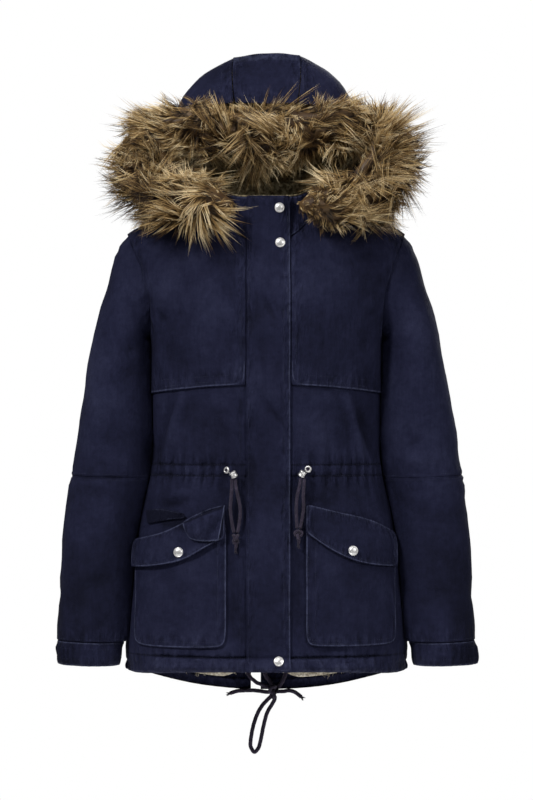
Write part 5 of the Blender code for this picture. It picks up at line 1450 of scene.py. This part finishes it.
def make_fold():
    top = curve_through([(x, 0, z) for x, z in FOLD_TOP])
    foot = curve_through([(x, 0, z) for x, z in FOLD_FOOT])
    bm = bmesh.new()
    layers = []
    for inner in (0.0, FOLD_WALL):
        grid = []
        for r in range(FOLD_ROWS + 1):
            v = r / FOLD_ROWS
            row = []
            for c in range(FOLD_COLUMNS + 1):
                u = c / FOLD_COLUMNS
                flat = top(u).lerp(foot(u), v)
                ends = math.sin(math.pi * min(1, 0.12 + u)) ** 0.6
                puff = FOLD_CLEAR + FOLD_PUFF * math.sin(math.pi * v) ** 0.7 * ends
                wave = FOLD_WAVE * math.sin(9 * u + 5 * v) * math.sin(math.pi * v)
                depth = on_cloth(flat.x, flat.z)[0].y - puff - wave + inner
                row.append(bm.verts.new((flat.x, depth, flat.z)))
            grid.append(row)
        layers.append(grid)
    outer, inside = layers
    for r in range(FOLD_ROWS):
        for c in range(FOLD_COLUMNS):
            bm.faces.new((outer[r][c], outer[r][c + 1], outer[r + 1][c + 1], outer[r + 1][c]))
            bm.faces.new((inside[r][c], inside[r + 1][c], inside[r + 1][c + 1], inside[r][c + 1]))
    edge = [(0, c) for c in range(FOLD_COLUMNS)] + [(r, FOLD_COLUMNS) for r in range(FOLD_ROWS)]
    edge += [(FOLD_ROWS, c) for c in range(FOLD_COLUMNS, 0, -1)] + [(r, 0) for r in range(FOLD_ROWS, 0, -1)]
    for (r, c), (s, d) in zip(edge, edge[1:] + edge[:1]):
        bm.faces.new((outer[r][c], inside[r][c], inside[s][d], outer[s][d]))
    bmesh.ops.recalc_face_normals(bm, faces=bm.faces)
    worn, fade = [], []
    for _ in layers:
        for r in range(FOLD_ROWS + 1):
            for c in range(FOLD_COLUMNS + 1):
                away = min(FOLD_ROWS - r, FOLD_COLUMNS - c, c)
                worn.append(1.8 if away == 0 else 0.2 if away == 1 else 0.0)
                # The top two rows are painted darker, as the shadow under the flap's top edge.
                fade.append(-0.20 if r < 2 else 0.03)
    piece = add_piece("flap_right_fold", bm, twill_look)
    write_attribute(piece.data, "worn", worn)
    write_attribute(piece.data, "pucker", [0.7] * len(worn))
    write_attribute(piece.data, "fade", fade)


make_fold()

# ---------------------------------------------------------------- fleece
# Curly pile: olive in the hood and inside the collar, cream inside the back's two tails, where it is
# drawn up beside the vent.
Fleece = namedtuple("Fleece", "node slot wide long area hangs_from")
FLEECES = [
    Fleece("back_lining_left", "cream_fleece", 0.255, 0.285, 0.0690, "back_left"),
    Fleece("back_lining_right", "cream_fleece", 0.255, 0.285, 0.0680, "back_right"),
    Fleece("hood_lining_side_left", "olive_fleece", 0.240, 0.290, 0.0500, "hood_side_left"),
    Fleece("hood_lining_side_right", "olive_fleece", 0.240, 0.290, 0.0500, "hood_side_right"),
    Fleece("hood_lining_centre", "olive_fleece", 0.110, 0.410, 0.0380, "hood_centre"),
]
CURLS = Look(spread=0.0014, thick=0.00038, pull=0.2, splay=0.45, bend=0.5, wave=0.22, turns=1.0)


def fleece_material(name, dark, middle, light):
    material, tree, shader = new_material(name)
    place = add_node(tree, "TexCoord").outputs["Object"]
    tufts = add_node(tree, "TexVoronoi", [("Vector", place)], Scale=190.0).outputs["Distance"]
    mean = calc(tree, "MULTIPLY_ADD", tufts, -0.45, noise_over(tree, 240.0, Detail=3.0, Distortion=0.8))
    tone = add_ramp(tree, mean, (0.10, dark), (0.32, middle), (0.55, light))
    bump = add_node(tree, "Bump", [("Height", mean)], Strength=1.0, Distance=0.0030)
    set_look(tree, shader, tone.outputs["Color"], roughness=0.95, gloss=0.08, bump=bump)
    return material


CREAM = ((0.42, 0.36, 0.27), (0.72, 0.65, 0.53), (0.90, 0.86, 0.76))
OLIVE = ((0.095, 0.075, 0.042), (0.260, 0.215, 0.125), (0.430, 0.370, 0.240))
cream_look = fleece_material("cream_fleece_pile", *CREAM)
olive_look = fleece_material("olive_fleece_pile", *OLIVE)
DRAWN_UP = 0.015         # how far the hem's cord draws up the lining beside the vent
CURLS_A_SIDE = 260
CURL_REACHES = (0.003, 0.0055)
PILE = 0.0009            # how deep the pile's lumps are


def grow_curls(name, points, normals, count, material, seed):
    """Short curly tufts of pile on some of a cloth's points."""
    rng = np.random.default_rng(seed)
    chosen = rng.choice(len(points), count)
    root = points[chosen] + rng.normal(0, 0.0012, (count, 3)) - normals[chosen] * 0.0008
    way = unit(normals[chosen] + rng.normal(0, 0.35, (count, 3)) + np.array((0, 0, -0.5)))
    bend = rng.normal(0, 0.35, (count, 3)) + 0.5 * normals[chosen]
    locks = Locks(root, way, rng.uniform(*CURL_REACHES, count), bend, np.zeros(count))
    corners, faces = hairs_of(locks, 3, CURLS, rng)
    mesh = bpy.data.meshes.new(name)
    mesh.from_pydata(corners.tolist(), [], faces)
    piece = place_mesh(name, mesh, material)


def dress_fleece(fleece, material):
    in_hood = fleece.node.startswith("hood")
    mesh = skin_of(fleece.node, "hood" if in_hood else "fleece", 2)
    points, rim = places_of(mesh), read_attribute(mesh, "rim")
    normals = np.array([v.normal[:] for v in mesh.vertices])
    way, lift = cloth_lift(points, "hood" if in_hood else "body")
    points += way * lift[:, None]
    if not in_hood:
        points[:, 0] += vent_shift(points, fleece.node)
        drawn = np.exp(-((points[:, 0] + 0.009) / 0.043) ** 4) * ease((LOW - points[:, 2]) / 0.06)
        points[:, 2] += DRAWN_UP * drawn
    middle = HOOD_MIDDLE if in_hood else np.array((0.0, 0.0, 1.0)) * points.mean(axis=0)
    inward = np.sum(normals * unit(middle - points), axis=1)
    curly = 0.5 + 0.5 * uneven(points, 0.009, 31)
    points += normals * (PILE * curly * ease(inward * 3))[:, None]
    mesh.vertices.foreach_set("co", points.ravel().astype(np.float32))
    forget_marks(mesh)
    piece = place_mesh(fleece.node + "_pile", mesh, material)
    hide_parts(fleece.node)
    if not in_hood:
        low = (points[:, 2] < points[rim > 0.7][:, 2].min() + 0.060) & (inward > 0.2)
        grow_curls(fleece.node + "_curls", points[low], normals[low], CURLS_A_SIDE, material,
                   seed=len(points))


def line_collar():
    """The same fleece inside the stand collar, its edge just over the top."""
    bm = bmesh.new()
    bm.from_mesh(bpy.data.objects["collar_cloth"].data)
    bm.normal_update()
    outward = []
    for face in bm.faces:
        middle = face.calc_center_median()
        out = face.normal.x * middle.x + face.normal.y * (middle.y - COLLAR_Y)
        if out > INNER_OUT or abs(face.normal.z) > 0.8 or middle.z < 0.0:
            outward.append(face)
    bmesh.ops.delete(bm, geom=outward, context="FACES")
    for layer in list(bm.verts.layers.float):
        bm.verts.layers.float.remove(layer)
    bmesh.ops.solidify(bm, geom=bm.faces[:], thickness=-COLLAR_FLEECE)
    bmesh.ops.recalc_face_normals(bm, faces=bm.faces)
    for vert in bm.verts:
        vert.co.z += OVER_TOP * max(0.0, min(1.0, (vert.co.z - 0.008) / 0.004))
    piece = add_piece("collar_fleece", bm, olive_look)
    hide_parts("collar")


COLLAR_Y = 0.01          # the collar's middle
INNER_OUT = -0.0014      # how far out an inner face points at most, times its distance
COLLAR_FLEECE = 0.0016
OVER_TOP = 0.0012        # how far the fleece stands over the collar's edge
line_collar()
for fleece in FLEECES:
    dress_fleece(fleece, cream_look if fleece.slot == "cream_fleece" else olive_look)

# ---------------------------------------------------------------- metal
# Nickel press studs with a rolled rim, the waist's eyelets, and the barrels that the cords pass. The
# studs and the eyelets sit on the dressed cloth.
SNAP_FORM = [
    (0.0, 0.0031), (0.0022, 0.0030), (0.0040, 0.0026), (0.0051, 0.0019), (0.0055, 0.0015), (0.0059, 0.0016),
    (0.0064, 0.0019), (0.0069, 0.0016), (0.0072, 0.0010), (0.0070, 0.0003), (0.0060, -0.0006), (0.0, -0.0006),
]
EYELET_FORM = [
    (0.0, 0.0001), (0.0026, 0.0001), (0.0026, 0.0009), (0.0029, 0.0015), (0.0036, 0.0018), (0.0044, 0.0014),
    (0.0051, 0.0006), (0.0052, -0.0004), (0.0, -0.0004),
]
BARREL_FORM = [
    (0.0, 0.0), (0.0030, 0.0), (0.0030, 0.0010), (0.0041, 0.0), (0.0049, 0.0008), (0.0052, 0.0020),
    (0.0047, 0.0026), (0.0047, 0.0064), (0.0052, 0.0070), (0.0049, 0.0082), (0.0041, 0.0090),
    (0.0030, 0.0080), (0.0030, 0.0090), (0.0, 0.0090),
]
Stud = namedtuple("Stud", "node x z")
STUDS = [
    Stud("snap_collar", 0.0187, 0.0005), Stud("snap_chest", 0.0197, -0.0500),
    Stud("snap_hem", 0.0174, -0.6480), Stud("snap_pocket_left", 0.1240, -0.4923),
    Stud("snap_pocket_right", -0.1260, -0.4943),
]
EYELETS = [Stud("eyelet_left", 0.0595, -0.3755), Stud("eyelet_right", -0.0572, -0.3770)]
BARRELS = [("ferrule_left", (0.0512, -0.1252, -0.3872)), ("ferrule_right", (-0.0472, -0.1252, -0.3882))]
EYELET_HOLE, BARREL_HOLE = 0.00265, 0.00305
BARREL_HALF = 0.0045
BARREL_MIDDLE = Vector((0, -0.0008, 0.0052))    # from where its cords come out
SPUN_STEPS = 40


def nickel_material():
    material, tree, shader = new_material("brushed_nickel")
    scuffs = noise_over(tree, 700.0, Detail=4.0, Roughness=0.7)
    tone = add_ramp(tree, scuffs, (0.35, (0.62, 0.61, 0.60)), (0.65, (0.86, 0.85, 0.84)))
    tree.links.new(tone.outputs["Color"], shader.inputs["Base Color"])
    shader.inputs["Metallic"].default_value = 0.85
    dull = add_node(tree, "MapRange", [("Value", scuffs)], To_Min=0.30, To_Max=0.50)
    tree.links.new(dull.outputs["Result"], shader.inputs["Roughness"])
    bump = add_node(tree, "Bump", [("Height", scuffs)], Strength=0.15, Distance=0.0003)
    tree.links.new(bump.outputs["Normal"], shader.inputs["Normal"])
    return material


nickel_look = nickel_material()


def spun(name, form, base, out, node, hole=0.0):
    """A turned metal piece: (radius, height) pairs spun round the way it faces, dark within its hole."""
    bm = bmesh.new()
    corners = [bm.verts.new((radius, 0, height)) for radius, height in form]
    edges = [bm.edges.new(pair) for pair in zip(corners, corners[1:])]
    bmesh.ops.spin(
        bm, geom=corners + edges, axis=(0, 0, 1), cent=(0, 0, 0), dvec=(0, 0, 0),
        angle=2 * math.pi, steps=SPUN_STEPS, use_merge=True, use_duplicate=False,
    )
    bmesh.ops.remove_doubles(bm, verts=bm.verts, dist=1e-6)
    bmesh.ops.recalc_face_normals(bm, faces=bm.faces)
    for face in bm.faces:
        face.material_index = int(max(math.hypot(v.co.x, v.co.y) for v in face.verts) < hole)
    turn = out.to_track_quat("Z", "Y").to_matrix().to_4x4()
    turn.translation = base
    bmesh.ops.transform(bm, matrix=turn, verts=bm.verts)
    piece = add_piece(name, bm, nickel_look)
    if hole:
        piece.data.materials.append(cord_look)
    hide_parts(node)


for stud in STUDS:
    place, out = on_cloth(stud.x, stud.z)
    spun(stud.node + "_cap", SNAP_FORM, place, (out + Vector((0, -1, 0))).normalized(), stud.node)
for eyelet in EYELETS:
    place, out = on_cloth(eyelet.x, eyelet.z)
    spun(eyelet.node + "_ring", EYELET_FORM, place, out.normalized(), eyelet.node, hole=EYELET_HOLE)
for node, place in BARRELS:
    slant = Vector((0.5 if node.endswith("left") else -0.5, -0.15, 0.86)).normalized()
    foot = Vector(place) + BARREL_MIDDLE - slant * BARREL_HALF
    spun(node + "_barrel", BARREL_FORM, foot, slant, node, hole=BARREL_HOLE)
